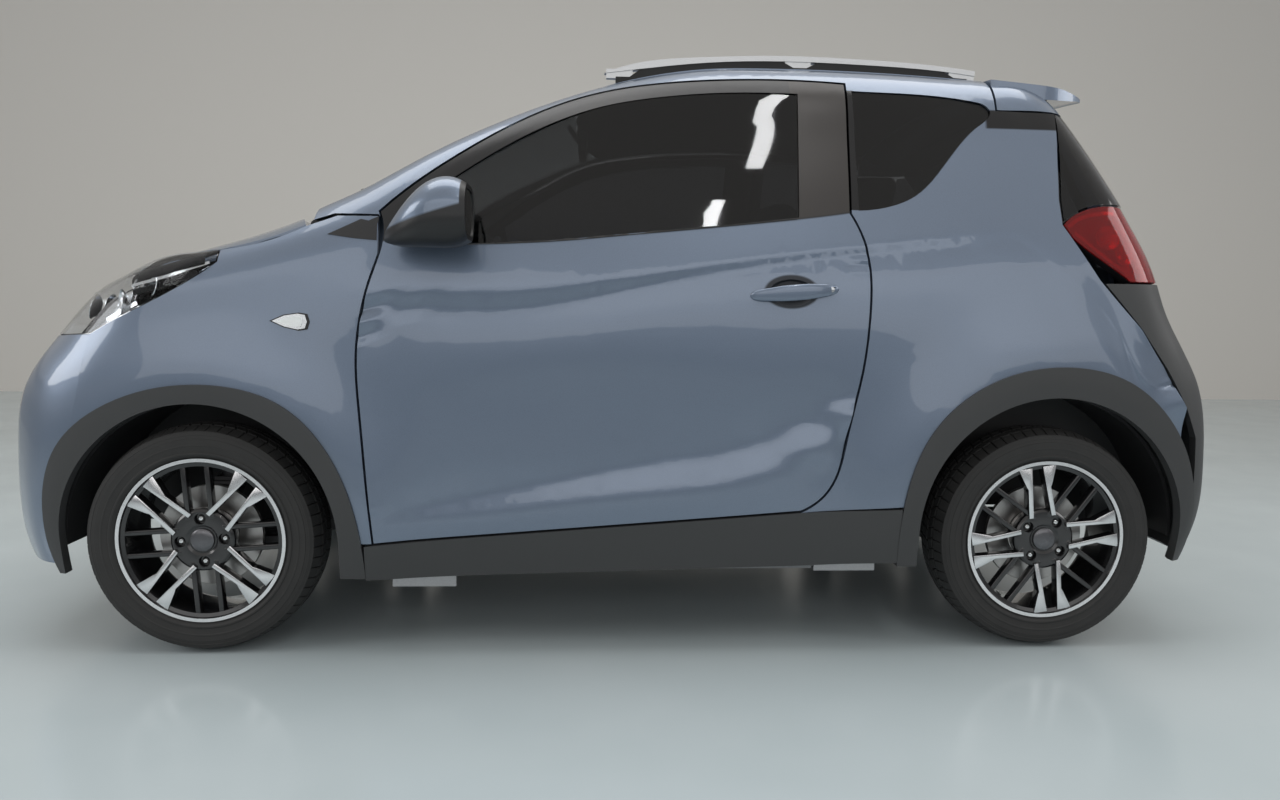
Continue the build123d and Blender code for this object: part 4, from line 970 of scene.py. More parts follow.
def bowl(place, axis, radius, deep, name="bowl"):
    # a reflector dish with a rim, its mouth facing along the axis
    profile = [(0.004, -deep), (radius * 0.45, -deep * 0.86), (radius * 0.75, -deep * 0.5), (radius * 0.94, -deep * 0.12),
               (radius, 0.0), (radius + 0.002, 0.001), (radius + 0.003, -0.001), (radius * 0.97, -deep * 0.2),
               (radius * 0.78, -deep * 0.62), (radius * 0.45, -deep * 0.95), (0.004, -deep * 1.08)]
    mesh = turned(name, profile, (0, 0, 0), 48)
    mesh.transform(Matrix.Translation(place) @ Vector((0, 1, 0)).rotation_difference(Vector(axis)).to_matrix().to_4x4())
    return mesh


def ball(place, axis, radius, bulge, name="ball"):
    # a projector lens: a domed front on a short barrel
    steps = 9
    profile = [(max(radius * math.sin(math.pi / 2 * k / steps), 0.0003), bulge * math.cos(math.pi / 2 * k / steps))
               for k in range(steps + 1)]
    profile += [(radius, -0.006), (0.0003, -0.006)]
    mesh = turned(name, profile, (0, 0, 0), 40)
    mesh.transform(Matrix.Translation(place) @ Vector((0, 1, 0)).rotation_difference(Vector(axis)).to_matrix().to_4x4())
    return mesh


def addHeadlamps():
    skin = outerSkin("headlamp_left", headlamp["middle"])
    lens = shell(skin, "lens", 0.0002, headlamp["lens"])
    dish = tray(skin, "dish", 0.0040, headlamp["deep"])
    skin.free()
    seat = ("headlamp_left",)
    streaks = marked(patch("topStreak", strip(smoothPath(headlamp["topStreak"]), 0.008), seat, -0.006, 0.004, 0.02), 1)
    black = marked(patch("blackStreak", strip(smoothPath(headlamp["blackStreak"]), 0.016), seat, -0.008, 0.004, 0.02), 2)
    brow = marked(patch("browStreak", strip(smoothPath(headlamp["browStreak"]), 0.026), seat, -0.0045, 0.004, 0.02), 2)
    low = marked(patch("lowStreak", strip(smoothPath(headlamp["lowStreak"]), 0.010), seat, -0.014, 0.004, 0.02), 1)
    marked(dish, 0)
    for face in dish.polygons:
        if face.center.x > 1.190 and face.center.y > 0.68 and abs(face.normal.z) < 0.9:
            face.material_index = 1
    parts = [dish, streaks, black, brow, low]
    beams = ((1.235, 0.880, 0.034, (0.80, 0.52, 0.12)), (1.150, 0.925, 0.026, (0.70, 0.62, 0.25)))
    for x, z, radius, axis in beams:
        hit, normal = onSide("headlamp_left", x, z)
        place = hit - normal * 0.020
        parts.append(marked(bowl(place, axis, radius, 0.022), 1))
        parts.append(marked(ball(place - Vector(axis).normalized() * 0.012, axis, radius * 0.62, 0.014), 3))
    low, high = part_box("headlamp_left")
    for share, radius in ((0.26, 0.033), (0.54, 0.033)):
        start = Vector((2.0, low[1] + (high[1] - low[1]) * share, headlamp["eye"]))
        hit, normal, _, _ = skinTree("headlamp_left").ray_cast(start, Vector((-1, 0, 0)))
        if hit is None:
            continue
        axis = normal if normal.x > 0 else -normal
        axis = Vector((axis.x, axis.y, axis.z * 0.3)).normalized()
        parts.append(marked(bowl(hit - axis * 0.014, axis, radius, 0.018), 1))
        parts.append(marked(ball(hit - axis * 0.022, axis, radius * 0.62, 0.012), 3))
    for k in range(headlamp["ribs"]):
        share = k / (headlamp["ribs"] - 1)
        x = 1.205 - 0.165 * share
        z = 0.905 + 0.055 * share
        hit, normal = onSide("headlamp_left", x, z)
        rib = meshOf("rib", [(a, b, c) for a in (-0.0012, 0.0012) for b in (-0.010, 0.004) for c in (-0.020, 0.020)],
                     [(0, 1, 3, 2), (4, 6, 7, 5), (0, 4, 5, 1), (2, 3, 7, 6), (0, 2, 6, 4), (1, 5, 7, 3)])
        turn = Vector((0, 1, 0)).rotation_difference(normal).to_matrix().to_4x4()
        rib.transform(Matrix.Translation(hit - normal * 0.026) @ turn)
        parts.append(marked(rib, 1))
    inside = joined("headlampInside", parts)
    bodies = ("body", "body")
    insides = bothSides("headlamp_inside", inside, bodies, ["lampBlack", "lampSilver", "lampBlack", "clearLens"],
                        slot="lamp_lens")
    lenses = bothSides("headlamp_lens", lens, bodies, ["clearLens"], slot="lamp_lens")
    for side, made in zip(("left", "right"), lenses):
        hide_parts("headlamp_" + side)


tailLamp = {"middle": (-0.9, 0.3, 1.05), "deep": 0.028}


def splitTail():
    # the CAD pair as one skin for the left lamp alone
    work = outerSkin("tail_lamps", (-0.9, 0.0, 1.05), -2.0)
    right = [v for v in work.verts if v.co.y < 0]
    bmesh.ops.delete(work, geom=right, context="VERTS")
    middle = Vector(tailLamp["middle"])
    inner = [f for f in work.faces if f.normal.dot((f.calc_center_median() - middle).normalized()) < 0.3]
    bmesh.ops.delete(work, geom=inner, context="FACES")
    work.normal_update()
    return work


def addTailLamps():
    skin = splitTail()
    lens = shell(skin, "tailLens", 0.0002, 0.003)
    dish = tray(skin, "tailDish", 0.0040, tailLamp["deep"])
    skin.free()
    marked(dish, 0)
    for face in dish.polygons:
        if face.normal.dot(face.center - Vector(tailLamp["middle"])) < 0:
            face.material_index = 3
    parts = [dish]
    seat = ("tail_lamps",)
    rim = [(-1.150, 1.100), (-1.185, 1.124), (-1.235, 1.136), (-1.285, 1.138), (-1.325, 1.118), (-1.334, 1.060)]
    low = [(-1.165, 1.086), (-1.215, 1.045), (-1.262, 1.008), (-1.300, 0.984)]
    parts.append(marked(patch("guide", strip(smoothPath(rim), 0.010), seat, -0.009, 0.005, 0.02), 1))
    parts.append(marked(patch("lowGuide", strip(smoothPath(low), 0.008), seat, -0.009, 0.005, 0.02), 1))
    for x, z, radius in ((-1.255, 1.075, 0.030), (-1.300, 1.030, 0.024)):
        hit, normal = onSide("tail_lamps", x, z)
        parts.append(marked(bowl(hit - normal * 0.012, normal, radius, 0.012), 1))
        parts.append(marked(ball(hit - normal * 0.018, normal, radius * 0.5, 0.008), 2))
    inside = joined("tailInside", parts)
    bothSides("tail_lamp_inside", inside, ("body", "body"), ["redDeep", "lampSilver", "redLens", "lampBlack"], slot="tail_lens")
    lenses = bothSides("tail_lamp_lens", lens, ("body", "body"), ["redLens"], slot="tail_lens")
    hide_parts("tail_lamps")


addHeadlamps()
addTailLamps()
print("lamps made")


doorBottomSeal = [(0.392, 1.0315), (0.170, 1.0430), (-0.048, 1.0650), (-0.250, 1.0860), (-0.440, 1.1085)]
sailFront = [(0.712, 1.0480), (0.650, 1.0390), (0.5925, 1.0345), (0.5925, 1.1060), (0.645, 1.0800)]
repeater = {"lens": [(0.841, 0.837), (0.812, 0.850), (0.780, 0.855), (0.762, 0.852), (0.757, 0.836), (0.762, 0.820),
                     (0.780, 0.817), (0.812, 0.824)],
            "grow": 1.16, "centre": (0.795, 0.836)}


def grownOutline(outline, centre, factor):
    return [(centre[0] + (x - centre[0]) * factor, centre[1] + (z - centre[1]) * factor) for x, z in outline]


def topOn(names, x, y):
    # the highest skin of some nodes over a point of the plan
    best = None
    for name in names:
        hit, normal, _, _ = skinTree(name).ray_cast(Vector((x, y, 2.0)), Vector((0, 0, -1)))
        if hit is not None and (best is None or hit.z > best[0].z):
            best = (hit, normal if normal.z > 0 else -normal)
    return best


def railGapShadeStrips():
    # a dark strip in each roof rail's gap: partly the rail's black base, partly painted shade that makes the gap darker
    # than its shadow alone
    steps = 26
    top, base = [], []
    for k in range(steps + 1):
        x = 0.010 - 0.955 * k / steps
        roof = topOn(("roof_panel", "body_side_left"), x, 0.528)
        under = skinTree("roof_rails").ray_cast(Vector((x, 0.528, 1.40)), Vector((0, 0, 1)))[0]
        if roof is None or under is None:
            continue
        top.append((x, under.z + 0.004 if under.z > roof[0].z else roof[0].z + 0.012))
        base.append((x, roof[0].z - 0.003))
    # painted shade: this black rubber strip darkens the gap under the rail beyond what its shadow gives, as well as
    # standing for a black base
    mesh = prism("railGapShadeStrip", top + base[::-1], 0.5155, 0.5405, lambda a, b, h: (a, h, b))
    bothSides("rail_gap_shade_strip", mesh, ("body", "body"), ["rubber"], slot="cladding")


def tubeAlong(name, path, radius, sides=8):
    # a round bar along a line of points
    points, faces = [], []
    for k, here in enumerate(path):
        here = Vector(here)
        ahead = (Vector(path[min(k + 1, len(path) - 1)]) - Vector(path[max(k - 1, 0)])).normalized()
        first = ahead.cross(Vector((0, 0, 1))) if abs(ahead.z) < 0.95 else ahead.cross(Vector((0, 1, 0)))
        first.normalize()
        second = ahead.cross(first)
        for s in range(sides):
            turn = 2 * math.pi * s / sides
            points.append(here + (first * math.cos(turn) + second * math.sin(turn)) * radius)
    for k in range(len(path) - 1):
        for s in range(sides):
            a, b = k * sides + s, k * sides + (s + 1) % sides
            faces.append((a, b, b + sides, a + sides))
    faces += [tuple(range(sides))[::-1], tuple(range((len(path) - 1) * sides, len(path) * sides))]
    return meshOf(name, points, faces)


def boxAt(name, middle, size, turn=None, bevel=0.0):
    # a block of a size about a middle, turned and with its edges rounded
    corners = [Vector((a * size[0], b * size[1], c * size[2])) for a in (-0.5, 0.5) for b in (-0.5, 0.5) for c in (-0.5, 0.5)]
    faces = [(0, 1, 3, 2), (4, 6, 7, 5), (0, 4, 5, 1), (2, 3, 7, 6), (0, 2, 6, 4), (1, 5, 7, 3)]
    mesh = meshOf(name, corners, faces)
    if bevel:
        mesh = bevelled(mesh, bevel, 3)
    if turn is not None:
        mesh.transform(turn.to_matrix().to_4x4() if hasattr(turn, "to_matrix") else turn)
    mesh.transform(Matrix.Translation(middle))
    return mesh


def addDoorOutsides():
    bodies = ("door_left", "door_right")
    seal = patch("beltSeal", strip(smoothPath(doorBottomSeal), 0.011), ("door_left",), 0.0016, 0.004, 0.03)
    bothSides("belt_seal", seal, bodies, ["rubber"], slot="cladding")
    plate = []
    mouthMiddle = (0.893, 1.093)
    steps = 48
    for k in range(steps):
        turn = 2 * math.pi * k / steps
        c, s = math.cos(turn), math.sin(turn)
        plate.append((mouthMiddle[0] + math.copysign(abs(c) ** 0.55, c) * 0.0745,
                      mouthMiddle[1] + math.copysign(abs(s) ** 0.55, s) * 0.0515))
    glass = prism("mirrorGlass", plate, 0.3565, 0.3600, lambda a, b, h: (h, a, b))
    bothSides("mirror_glass", glass, bodies, ["mirrorGlass"], slot="rail")


def addSails():
    sail = patch("sail", sailFront, ("body_side_left", "fender_left"), 0.0015, 0.004, 0.02)
    bothSides("sail_front", sail, ("body", "body"), ["blackPlastic"], slot="cladding")


def addRepeaters():
    base = patch("repeaterSeat", grownOutline(repeater["lens"], repeater["centre"], repeater["grow"]), ("fender_left",),
                 0.0012, 0.004, 0.012)
    lens = patch("repeaterLens", repeater["lens"], ("fender_left",), 0.0042, 0.0035, 0.010)
    bulb = patch("repeaterGlow", grownOutline(repeater["lens"], repeater["centre"], 0.72), ("fender_left",), 0.0058,
                 0.0015, 0.010)
    whole = joined("repeater", [marked(base, 0), marked(lens, 1), marked(bulb, 2)])
    bothSides("side_repeater", whole, ("body", "body"), ["blackPlastic", "lampSilver", "whiteDiffuser"], slot="lamp_lens")


def screenFoot(x, y):
    # the skin at the foot of the windscreen, with the gap before the cowl stepped over
    skins = ("windscreen", "cowl")
    return topOn(skins, x, y) or topOn(skins, x - 0.015, y)


def addWipers():
    # two arms on the cowl with their blades lying at the foot of the windscreen
    parts = []
    for pivotY, tipY in ((0.110, 0.560), (-0.340, 0.100)):
        path = []
        for k in range(13):
            share = k / 12
            y = pivotY + (tipY - pivotY) * share
            x = 0.772 - 0.085 * math.sin(share * math.pi / 2) - 0.035 * abs(y) ** 1.4
            hit, normal = screenFoot(x, y)
            path.append(hit + normal * 0.010)
        parts.append(tubeAlong("blade", path, 0.0055))
        armPath = []
        for k in range(9):
            share = k / 8
            y = pivotY - 0.06 + (0.25 + 0.06) * share
            x = 0.800 - 0.100 * share - 0.035 * abs(y) ** 1.4
            hit, normal = screenFoot(x, y)
            armPath.append(hit + normal * (0.026 - 0.010 * share))
        parts.append(tubeAlong("arm", armPath, 0.0060))
        hit, normal = screenFoot(0.800 - 0.035 * abs(pivotY - 0.06) ** 1.4, pivotY - 0.06)
        knob = turned("knob", [(0.0005, 0.012), (0.014, 0.010), (0.017, 0.0), (0.017, -0.020), (0.0005, -0.020)], (0, 0, 0), 24)
        knob.transform(Matrix.Translation(hit + normal * 0.018) @ Vector((0, 1, 0)).rotation_difference(normal).to_matrix().to_4x4())
        parts.append(knob)
    finish("front_wipers", joined("wipers", parts), "body", ["wiperBlack"], slot="cladding")


addDoorOutsides()
addSails()
addRepeaters()
railGapShadeStrips()
addWipers()
print("outside pieces made")


seatForm = {"middle": 0.355, "half": 0.235, "benchHalf": 0.540}
cushionSide = [(0.245, 0.335), (0.262, 0.392), (0.225, 0.452), (0.060, 0.470), (-0.120, 0.462), (-0.185, 0.450),
               (-0.215, 0.380), (-0.190, 0.300), (0.120, 0.296)]
backSide = [(-0.215, 0.455), (-0.185, 0.520), (-0.225, 0.700), (-0.320, 0.960), (-0.352, 1.000), (-0.420, 1.005),
            (-0.445, 0.975), (-0.375, 0.700), (-0.310, 0.480), (-0.270, 0.430)]
restSide = [(-0.398, 1.030), (-0.395, 1.120), (-0.425, 1.165), (-0.480, 1.175), (-0.515, 1.140), (-0.495, 1.040),
            (-0.450, 1.020)]


def crossSlab(name, side, half, pads=3, crown=0.020, waist=0.012):
    # a padded form: a side outline carried across, pinched at its ends and crowned in its middle
    steps = 10
    centre = Vector((sum(p[0] for p in side) / len(side), sum(p[1] for p in side) / len(side)))
    ring = smoothPath(side + [side[0]], 4)[:-1]
    count = len(ring)
    points, faces = [], []
    for k in range(steps + 1):
        share = -1 + 2 * k / steps
        pinch = 1 - 0.20 * abs(share) ** 6 - 0.5 * max(abs(share) - 0.92, 0) * 4
        ripple = crown * (1 - share * share) - waist * (0.5 + 0.5 * math.cos(share * math.pi * pads))
        for x, z in ring:
            away = Vector((x, z)) - centre
            placed = centre + away * pinch + away.normalized() * (ripple * 0.5)
            points.append((placed.x, share * half, placed.y))
    for k in range(steps):
        for s in range(count):
            a, b = k * count + s, k * count + (s + 1) % count
            faces.append((a, b, b + count, a + count))
    faces += [tuple(range(count))[::-1], tuple(range(steps * count, (steps + 1) * count))]
    mesh = meshOf(name, points, faces)
    return baked(mesh, ("REMESH", {"mode": "VOXEL", "voxel_size": 0.011, "use_smooth_shade": True}),
                 ("SMOOTH", {"factor": 0.6, "iterations": 5}))


def seamAlong(name, path, radius=0.0022):
    return tubeAlong(name, path, radius, 6)


def puffed(mesh, name, rise):
    # cloth blown up by its own pressure, held near the form it started from
    holder = addObject(name, mesh)
    start = [v.co.copy() for v in mesh.vertices]
    cloth = holder.modifiers.new("cloth", "CLOTH")
    settings = cloth.settings
    settings.use_pressure = True
    settings.uniform_pressure_force = 4.0
    settings.effector_weights.gravity = 0.0
    settings.quality = 4
    settings.mass = 0.3
    scene.frame_start, scene.frame_end = 1, 12
    for step in range(1, 13):
        scene.frame_set(step)
    shaped = bpy.data.meshes.new_from_object(holder.evaluated_get(bpy.context.evaluated_depsgraph_get()))
    bpy.data.objects.remove(holder)
    scene.frame_set(1)
    for vert, old in zip(shaped.vertices, start):
        step = vert.co - old
        if step.length > rise:
            vert.co = old + step * (rise / step.length)
    return shaped


def addSeats():
    cushion = puffed(crossSlab("cushion", cushionSide, seatForm["half"] - 0.012), "cushion", 0.010)
    back = puffed(crossSlab("back", backSide, seatForm["half"] - 0.020), "back", 0.010)
    rest = crossSlab("headrest", restSide, 0.125, 1, 0.010, 0.0)
    posts = [tubeAlong("post", [(-0.430, side * 0.055, 0.960), (-0.455, side * 0.055, 1.060)], 0.006) for side in (-1, 1)]
    welts = []
    for side in (-1, 1):
        y = side * (seatForm["half"] - 0.075)
        top = [(0.225, y, 0.462), (0.060, y, 0.482), (-0.120, y, 0.474)]
        face = [(-0.178, y, 0.530), (-0.216, y, 0.700), (-0.306, y, 0.950)]
        welts += [seamAlong("welt", top), seamAlong("welt", face)]
    base = boxAt("seatBase", (0.0, 0.0, 0.268), (0.36, 0.38, 0.068), None, 0.008)
    soft = joined("seatSoft", [marked(cushion, 0), marked(back, 0), marked(rest, 0)] + [marked(w, 1) for w in welts]
                  + [marked(p, 2) for p in posts] + [marked(base, 3)])
    pair = joined("seats", [moved(soft.copy(), 0, seatForm["middle"], 0), moved(soft, 0, -seatForm["middle"], 0)])
    made = finish("front_seat_pair", pair, "body", ["cloth", "leather", "chrome", "cabinPlastic"], smooth=60.0,
                  slot="trim_fabric")
    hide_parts("front_seats")


benchCushion = [(-0.395, 0.320), (-0.392, 0.430), (-0.430, 0.480), (-0.560, 0.500), (-0.690, 0.488), (-0.720, 0.430),
                (-0.690, 0.300), (-0.440, 0.262)]
benchBack = [(-0.705, 0.505), (-0.745, 0.640), (-0.835, 0.930), (-0.862, 0.976), (-0.922, 0.976), (-0.940, 0.930),
             (-0.880, 0.600), (-0.842, 0.476), (-0.760, 0.462)]


def addBench():
    cushion = puffed(crossSlab("benchCushion", benchCushion, seatForm["benchHalf"] - 0.014, 5), "benchCushion", 0.010)
    back = puffed(crossSlab("benchBack", benchBack, seatForm["benchHalf"] - 0.014, 5), "benchBack", 0.010)
    welts = []
    for share in (-0.34, 0.0, 0.34):
        y = share * 2 * seatForm["benchHalf"] * 0.5
        welts.append(seamAlong("welt", [(-0.715, y, 0.560), (-0.755, y, 0.700), (-0.825, y, 0.915)]))
        welts.append(seamAlong("welt", [(-0.420, y, 0.488), (-0.560, y, 0.512), (-0.680, y, 0.500)]))
    bench = joined("bench", [marked(cushion, 0), marked(back, 0)] + [marked(w, 1) for w in welts])
    made = finish("bench_pads", bench, "body", ["cloth", "leather"], smooth=60.0, slot="trim_fabric")
    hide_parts("rear_bench")


addSeats()
addBench()
print("seats made")


handle = {"middle": (-0.432, 0.921), "half": 0.113, "high": 0.0165, "swell": 0.0030, "out": 0.0210, "tilt": 5.0}
oldHandle = {"middle": (-0.430, 0.926), "half": 0.116, "high": 0.0165, "tilt": 4.0}
cupForm = {"middle": (-0.425, 0.923), "long": 0.0605, "high": 0.0360}
samples = {"low": 0.872, "high": 0.972, "beside": -0.285}


def skinBetween(x, z):
    # the door's skin behind its handle, carried across from above and below it
    low, high = samples["low"], samples["high"]
    share = (z - low) / (high - low)
    under, over = (onSide("door_left", x, level)[0].y for level in (low, high))
    beside = samples["beside"]
    swell = onSide("door_left", beside, (low + high) / 2)[0].y - sum(
        onSide("door_left", beside, level)[0].y for level in (low, high)) / 2
    return under + (over - under) * share + swell * 4 * share * (1 - share)


def tiltedSlot(form, grow=0.0, steps=10):
    # the outline of a rounded bar about its middle, tilted in the side view
    radius = form["high"] + grow
    reach = form["half"] + grow - radius
    turn = math.radians(form["tilt"])
    outline = []
    for side in (1, -1):
        for k in range(steps + 1):
            angle = -math.pi / 2 + math.pi * k / steps
            a = side * (reach + radius * math.cos(angle))
            b = side * radius * math.sin(angle)
            outline.append((form["middle"][0] + a * math.cos(turn) - b * math.sin(turn),
                            form["middle"][1] + a * math.sin(turn) + b * math.cos(turn)))
    return outline


def handleCutters():
    # one cutter takes the bar off above the skin, the other clears the cup behind it
    work = bmesh.new()
    work.faces.new([work.verts.new((x, 0, z)) for x, z in tiltedSlot(oldHandle)])
    low = min(v.co.x for v in work.verts)
    for k in range(1, 24):
        bmesh.ops.bisect_plane(work, geom=work.verts[:] + work.edges[:] + work.faces[:],
                               plane_co=(low + k * 0.0098, 0, 0), plane_no=(1, 0, 0))
    for vert in work.verts:
        vert.co.y = skinBetween(vert.co.x, vert.co.z) + 0.00015
    lifted = bmesh.ops.extrude_face_region(work, geom=work.faces[:])
    for vert in (g for g in lifted["geom"] if isinstance(g, bmesh.types.BMVert)):
        vert.co.y = 0.870
    bmesh.ops.triangulate(work, faces=work.faces)
    outward(work)
    above = bpy.data.meshes.new("above")
    work.to_mesh(above)
    work.free()
    turn = math.radians(oldHandle["tilt"])
    outline = []
    for k in range(40):
        angle = 2 * math.pi * k / 40
        x = cupForm["middle"][0] + cupForm["long"] * math.cos(angle)
        z = cupForm["middle"][1] + cupForm["high"] * math.sin(angle)
        middle = oldHandle["middle"][1] + (x - oldHandle["middle"][0]) * math.tan(turn)
        outline.append((x, min(max(z, middle - 0.0150), middle + 0.0150)))
    return above, prism("behind", outline, 0.8095, 0.8690, lambda a, b, h: (a, h, b))


def handleBar():
    # the pull: rings along a tilted line, deeper and prouder in the middle
    turn = math.radians(handle["tilt"])
    stations, sides = 33, 24
    points, faces = [], []
    for k in range(stations):
        share = -1 + 2 * k / (stations - 1)
        share = math.copysign(abs(share) ** 0.8, share)
        along = share * handle["half"]
        full = max(1 - abs(share) ** 5, 0.0) ** 0.5
        high = max((handle["high"] + handle["swell"] * math.exp(-(share * 2.2) ** 4)) * full, 0.0006)
        out = handle["out"] * (1 - abs(share) ** 2.4) + 0.0060
        thick = 0.0052 + 0.0030 * abs(share) ** 2
        centre = out - thick
        x0 = handle["middle"][0] + along * math.cos(turn)
        z0 = handle["middle"][1] - along * math.sin(turn)
        for s in range(sides):
            angle = 2 * math.pi * s / sides
            c, w = math.cos(angle), math.sin(angle)
            up = math.copysign(abs(c) ** 0.75, c) * high
            away = math.copysign(abs(w) ** 0.8, w) * thick * max(full, 0.15)
            x, z = x0 + up * math.sin(turn), z0 + up * math.cos(turn)
            points.append((x, skinBetween(x0, z0) + centre + away, z))
    for k in range(stations - 1):
        for s in range(sides):
            a, b = k * sides + s, k * sides + (s + 1) % sides
            faces.append((a, b, b + sides, a + sides))
    faces += [tuple(range(sides))[::-1], tuple(range((stations - 1) * sides, stations * sides))]
    return meshOf("handleBar", points, faces)


def addDoors():
    work = mergedCopy("door_left")
    shell = bpy.data.meshes.new("doorShell")
    work.to_mesh(shell)
    work.free()
    for cutter in handleCutters():
        tool = addObject("tool", cutter)
        shell = baked(shell, ("BOOLEAN", {"operation": "DIFFERENCE", "solver": "EXACT", "object": tool}))
        bpy.data.objects.remove(tool)
    shell.materials.clear()
    bar = handleBar()
    tree = BVHTree.FromPolygons([v.co[:] for v in bar.vertices], [p.vertices[:] for p in bar.polygons])
    feet = [tubeAlong("foot", [(x, skinBetween(x, z) - 0.004, z), (x, skinBetween(x, z) + 0.010, z)], 0.0085, 16)
            for x, z in ((-0.347, 0.9135), (-0.520, 0.9290))]
    both = joined("doorHandle", [bar] + feet)
    bodies = ("door_left", "door_right")
    for side, body, shape in (("left", bodies[0], shell.copy()), ("right", bodies[1], mirrored(shell))):
        made = finish("door_shell_" + side, shape, body, ["door_" + side])
        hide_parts("door_" + side)
    bothSides("door_handle", both, bodies, ["paint"], smooth=50.0)
    lock = turned("lock", [(0.0005, 0.0010), (0.0062, 0.0006), (0.0072, -0.0008), (0.0072, -0.006), (0.0005, -0.006)],
                  (0, 0, 0), 28)
    hit, normal, _, _ = tree.ray_cast(Vector((-0.523, 1.0, 0.929)), Vector((0, -1, 0)))
    lock.transform(Matrix.Translation(hit))
    bothSides("door_lock", lock, bodies, ["lampSilver"], slot="rail")


addDoors()
print("doors and handles made")


rearBits = {"reflector": (0.500, 0.640, 0.400, 0.428), "pull": (-0.150, 0.150, 0.030, 0.054), "wiperReach": 0.300}


def backPatch(name, low, high, skins, lift, thick, rows=8):
    # a thin sheet over a (y, z) rectangle, laid on the rear of CAD nodes
    points, faces = [], []
    for push in (0.0, thick):
        for k in range(rows + 1):
            for m in range(3):
                y = low[0] + (high[0] - low[0]) * k / rows
                z = low[1] + (high[1] - low[1]) * m / 2
                best = None
                for skin in skins:
                    hit = skinTree(skin).ray_cast(Vector((-3.0, y, z)), Vector((1, 0, 0)))[0]
                    if hit is not None and (best is None or hit.x < best.x):
                        best = hit
                points.append((best.x - lift + push, y, z))
    layer = (rows + 1) * 3
    for k in range(rows):
        for m in range(2):
            a = k * 3 + m
            faces.append((a, a + 1, a + 4, a + 3))
            faces.append((a + layer, a + 3 + layer, a + 4 + layer, a + 1 + layer))
    ring = [k * 3 for k in range(rows + 1)] + [rows * 3 + 1] + [k * 3 + 2 for k in range(rows, -1, -1)] + [1]
    for a, b in zip(ring, ring[1:] + ring[:1]):
        faces.append((a, b, b + layer, a + layer))
    return bevelled(meshOf(name, points, faces), 0.0010, 2, 50)


def addRearBits():
    inner, outer, low, high = rearBits["reflector"]
    glow = backPatch("reflector", (inner, low), (outer, high), ("rear_bumper",), 0.004, 0.007)
    bothSides("rear_reflector", glow, ("body", "body"), ["redLens"], slot="tail_lens")
    plateLow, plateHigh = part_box("rear_plate")
    left, right, foot, top = rearBits["pull"]
    pull = backPatch("pull", (left, plateHigh[2] + foot), (right, plateHigh[2] + top), ("tailgate",), 0.006, 0.009)
    lamps = [backPatch("plateLamp", (y - 0.020, plateHigh[2] + 0.010), (y + 0.020, plateHigh[2] + 0.020), ("tailgate",),
                       0.005, 0.008, 4) for y in (-0.10, 0.10)]
    finish("tailgate_pull", joined("pulls", [marked(pull, 0)] + [marked(m, 1) for m in lamps]), "tailgate",
           ["blackPlastic", "whiteDiffuser"], slot="cladding")
    glassLow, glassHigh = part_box("rear_glass")
    parts = []
    for lift, radius, rise, reach in ((0.010, 0.0050, 0.050, 1.0), (0.024, 0.0060, 0.030, 0.55)):
        path = []
        for k in range(11):
            y = 0.02 - rearBits["wiperReach"] * reach * k / 10
            z = glassLow[2] + rise + (0.012 * k / 10 if reach < 1 else 0.0)
            hit = skinTree("rear_glass").ray_cast(Vector((-3.0, y, z)), Vector((1, 0, 0)))[0]
            if hit is not None:
                path.append(hit - Vector((lift, 0, 0)))
        parts.append(tubeAlong("rearWiper", path, radius))
    hub = turned("hub", [(0.0005, 0.012), (0.016, 0.010), (0.019, 0.0), (0.019, -0.014), (0.0005, -0.014)], (0, 0, 0), 28)
    hub.transform(Matrix.Translation(parts[1].vertices[0].co + Vector((0.004, 0, 0)))
                  @ Vector((0, 1, 0)).rotation_difference(Vector((-1, 0, 0))).to_matrix().to_4x4())
    parts.append(hub)
    finish("rear_wiper", joined("rearWiper", parts), "tailgate", ["wiperBlack"], slot="cladding")


addRearBits()
print("rear pieces made")


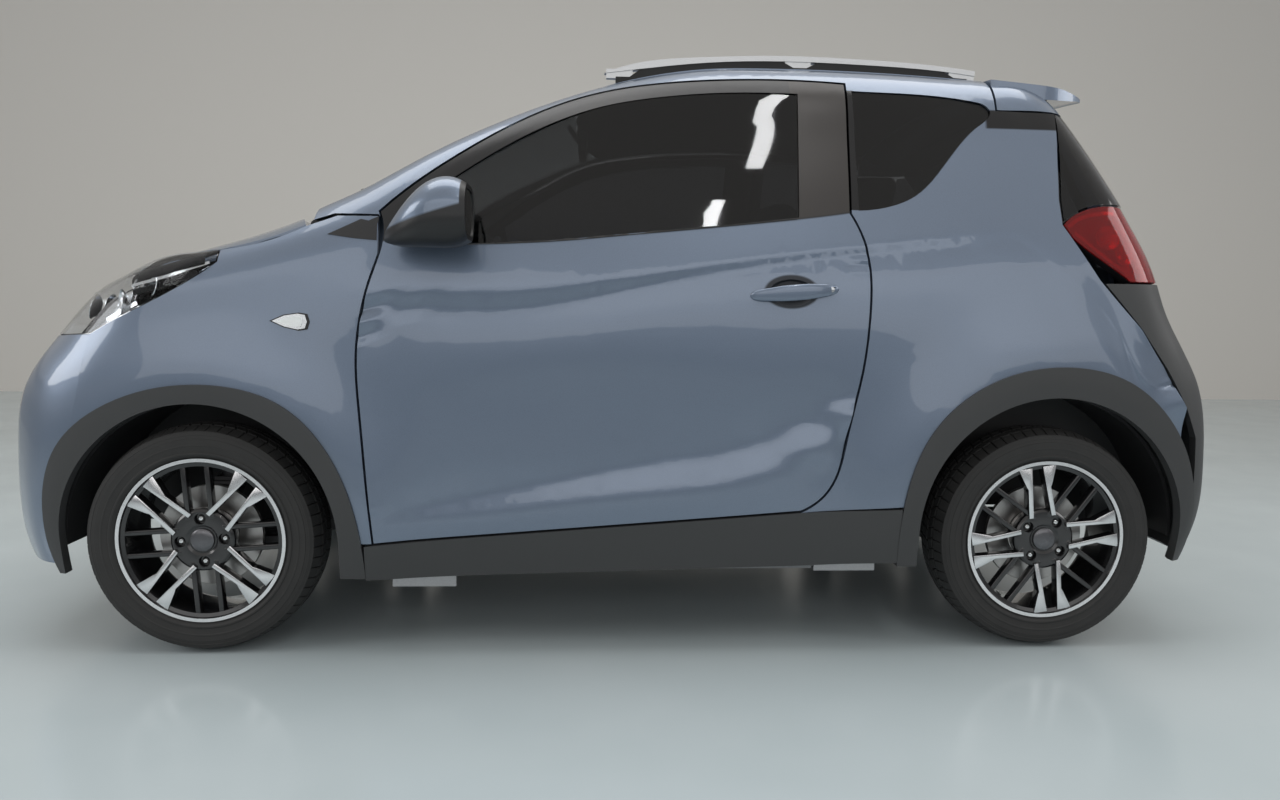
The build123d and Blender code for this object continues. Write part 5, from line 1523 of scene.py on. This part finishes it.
def addCabinBits():
    # screen, instrument hood and inner mirror
    low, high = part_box("dashboard")
    wheelLow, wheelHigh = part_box("steering_wheel")
    driver = (wheelLow[1] + wheelHigh[1]) / 2
    x = low[0] + 0.070
    tilt = Matrix.Rotation(math.radians(12), 4, "Y")
    deck = topOn(("dashboard",), x, 0.0)[0].z
    case = boxAt("screenCase", (x, 0.0, deck + 0.050), (0.016, 0.262, 0.158), tilt, 0.006)
    panel = boxAt("screenPanel", (x - 0.0085, 0.0, deck + 0.052), (0.004, 0.244, 0.140), tilt, 0.0015)
    rise = topOn(("dashboard",), x, driver)[0].z
    hood = boxAt("hood", (x + 0.030, driver, rise + 0.028), (0.120, 0.300, 0.086), tilt, 0.020)
    dials = boxAt("dials", (x - 0.034, driver, rise + 0.032), (0.010, 0.258, 0.058), tilt, 0.004)
    bits = [marked(case, 0), marked(panel, 1), marked(hood, 0), marked(dials, 1)]
    finish("dash_screens", joined("dashBits", bits), "body", ["cabinPlastic", "screenBlack"], slot="interior")
    screenLow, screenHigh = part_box("windscreen")
    x = screenLow[0] + 0.110
    roof = skinTree("windscreen").ray_cast(Vector((x, 0.0, 1.0)), Vector((0, 0, 1)))[0]
    back = Matrix.Rotation(math.radians(-8), 4, "Y")
    frame = boxAt("mirrorCase", (x - 0.050, 0.0, roof.z - 0.070), (0.026, 0.232, 0.062), back, 0.010)
    face = boxAt("mirrorFace", (x - 0.0630, 0.0, roof.z - 0.071), (0.003, 0.218, 0.048), back, 0.001)
    stem = tubeAlong("mirrorStem", [(x - 0.040, 0.0, roof.z - 0.060), (x - 0.010, 0.0, roof.z - 0.018), (x, 0.0, roof.z - 0.001)],
                     0.0080, 16)
    parts = [marked(frame, 0), marked(stem, 0), marked(face, 1)]
    finish("inner_mirror", joined("innerMirror", parts), "body", ["cabinPlastic", "mirrorGlass"], slot="interior")


addCabinBits()
print("cabin pieces made")


plain = {
    "paint": ("bonnet", "fender_left", "fender_right", "front_bumper", "tailgate", "spoiler"),
    "roofPaint": ("roof_panel",),
    "side_left": ("body_side_left",),
    "side_right": ("body_side_right",),
    "mirror_left": ("door_mirror_left",),
    "mirror_right": ("door_mirror_right",),
    "cladding": ("front_arch_trims", "rear_arch_trims", "sill_trims", "rear_bumper"),
    "blackPlastic": ("cowl", "wheel_wells", "floor_pan", "lower_grille"),
    "cabinPlastic": ("dashboard",),
    "darkGlass": ("door_glass_left", "door_glass_right", "quarter_glass", "rear_glass"),
    "screenGlass": ("windscreen",),
    "satinSilver": ("roof_rails",),
    "caseMetal": ("battery_pack", "drive_unit"),
    "castMetal": ("front_subframe", "rear_axle", "knuckle_left", "knuckle_right"),
    "steel": ("jacking_plates",),
    "plateWhite": ("front_plate", "rear_plate"),
    "leather": ("steering_wheel",),
}


def dress(name, look):
    data = nodes[name].data
    data.materials.clear()
    data.materials.append(look.material)


for lookName, names in plain.items():
    for name in names:
        dress(name, looks[lookName])
print("CAD pieces dressed")
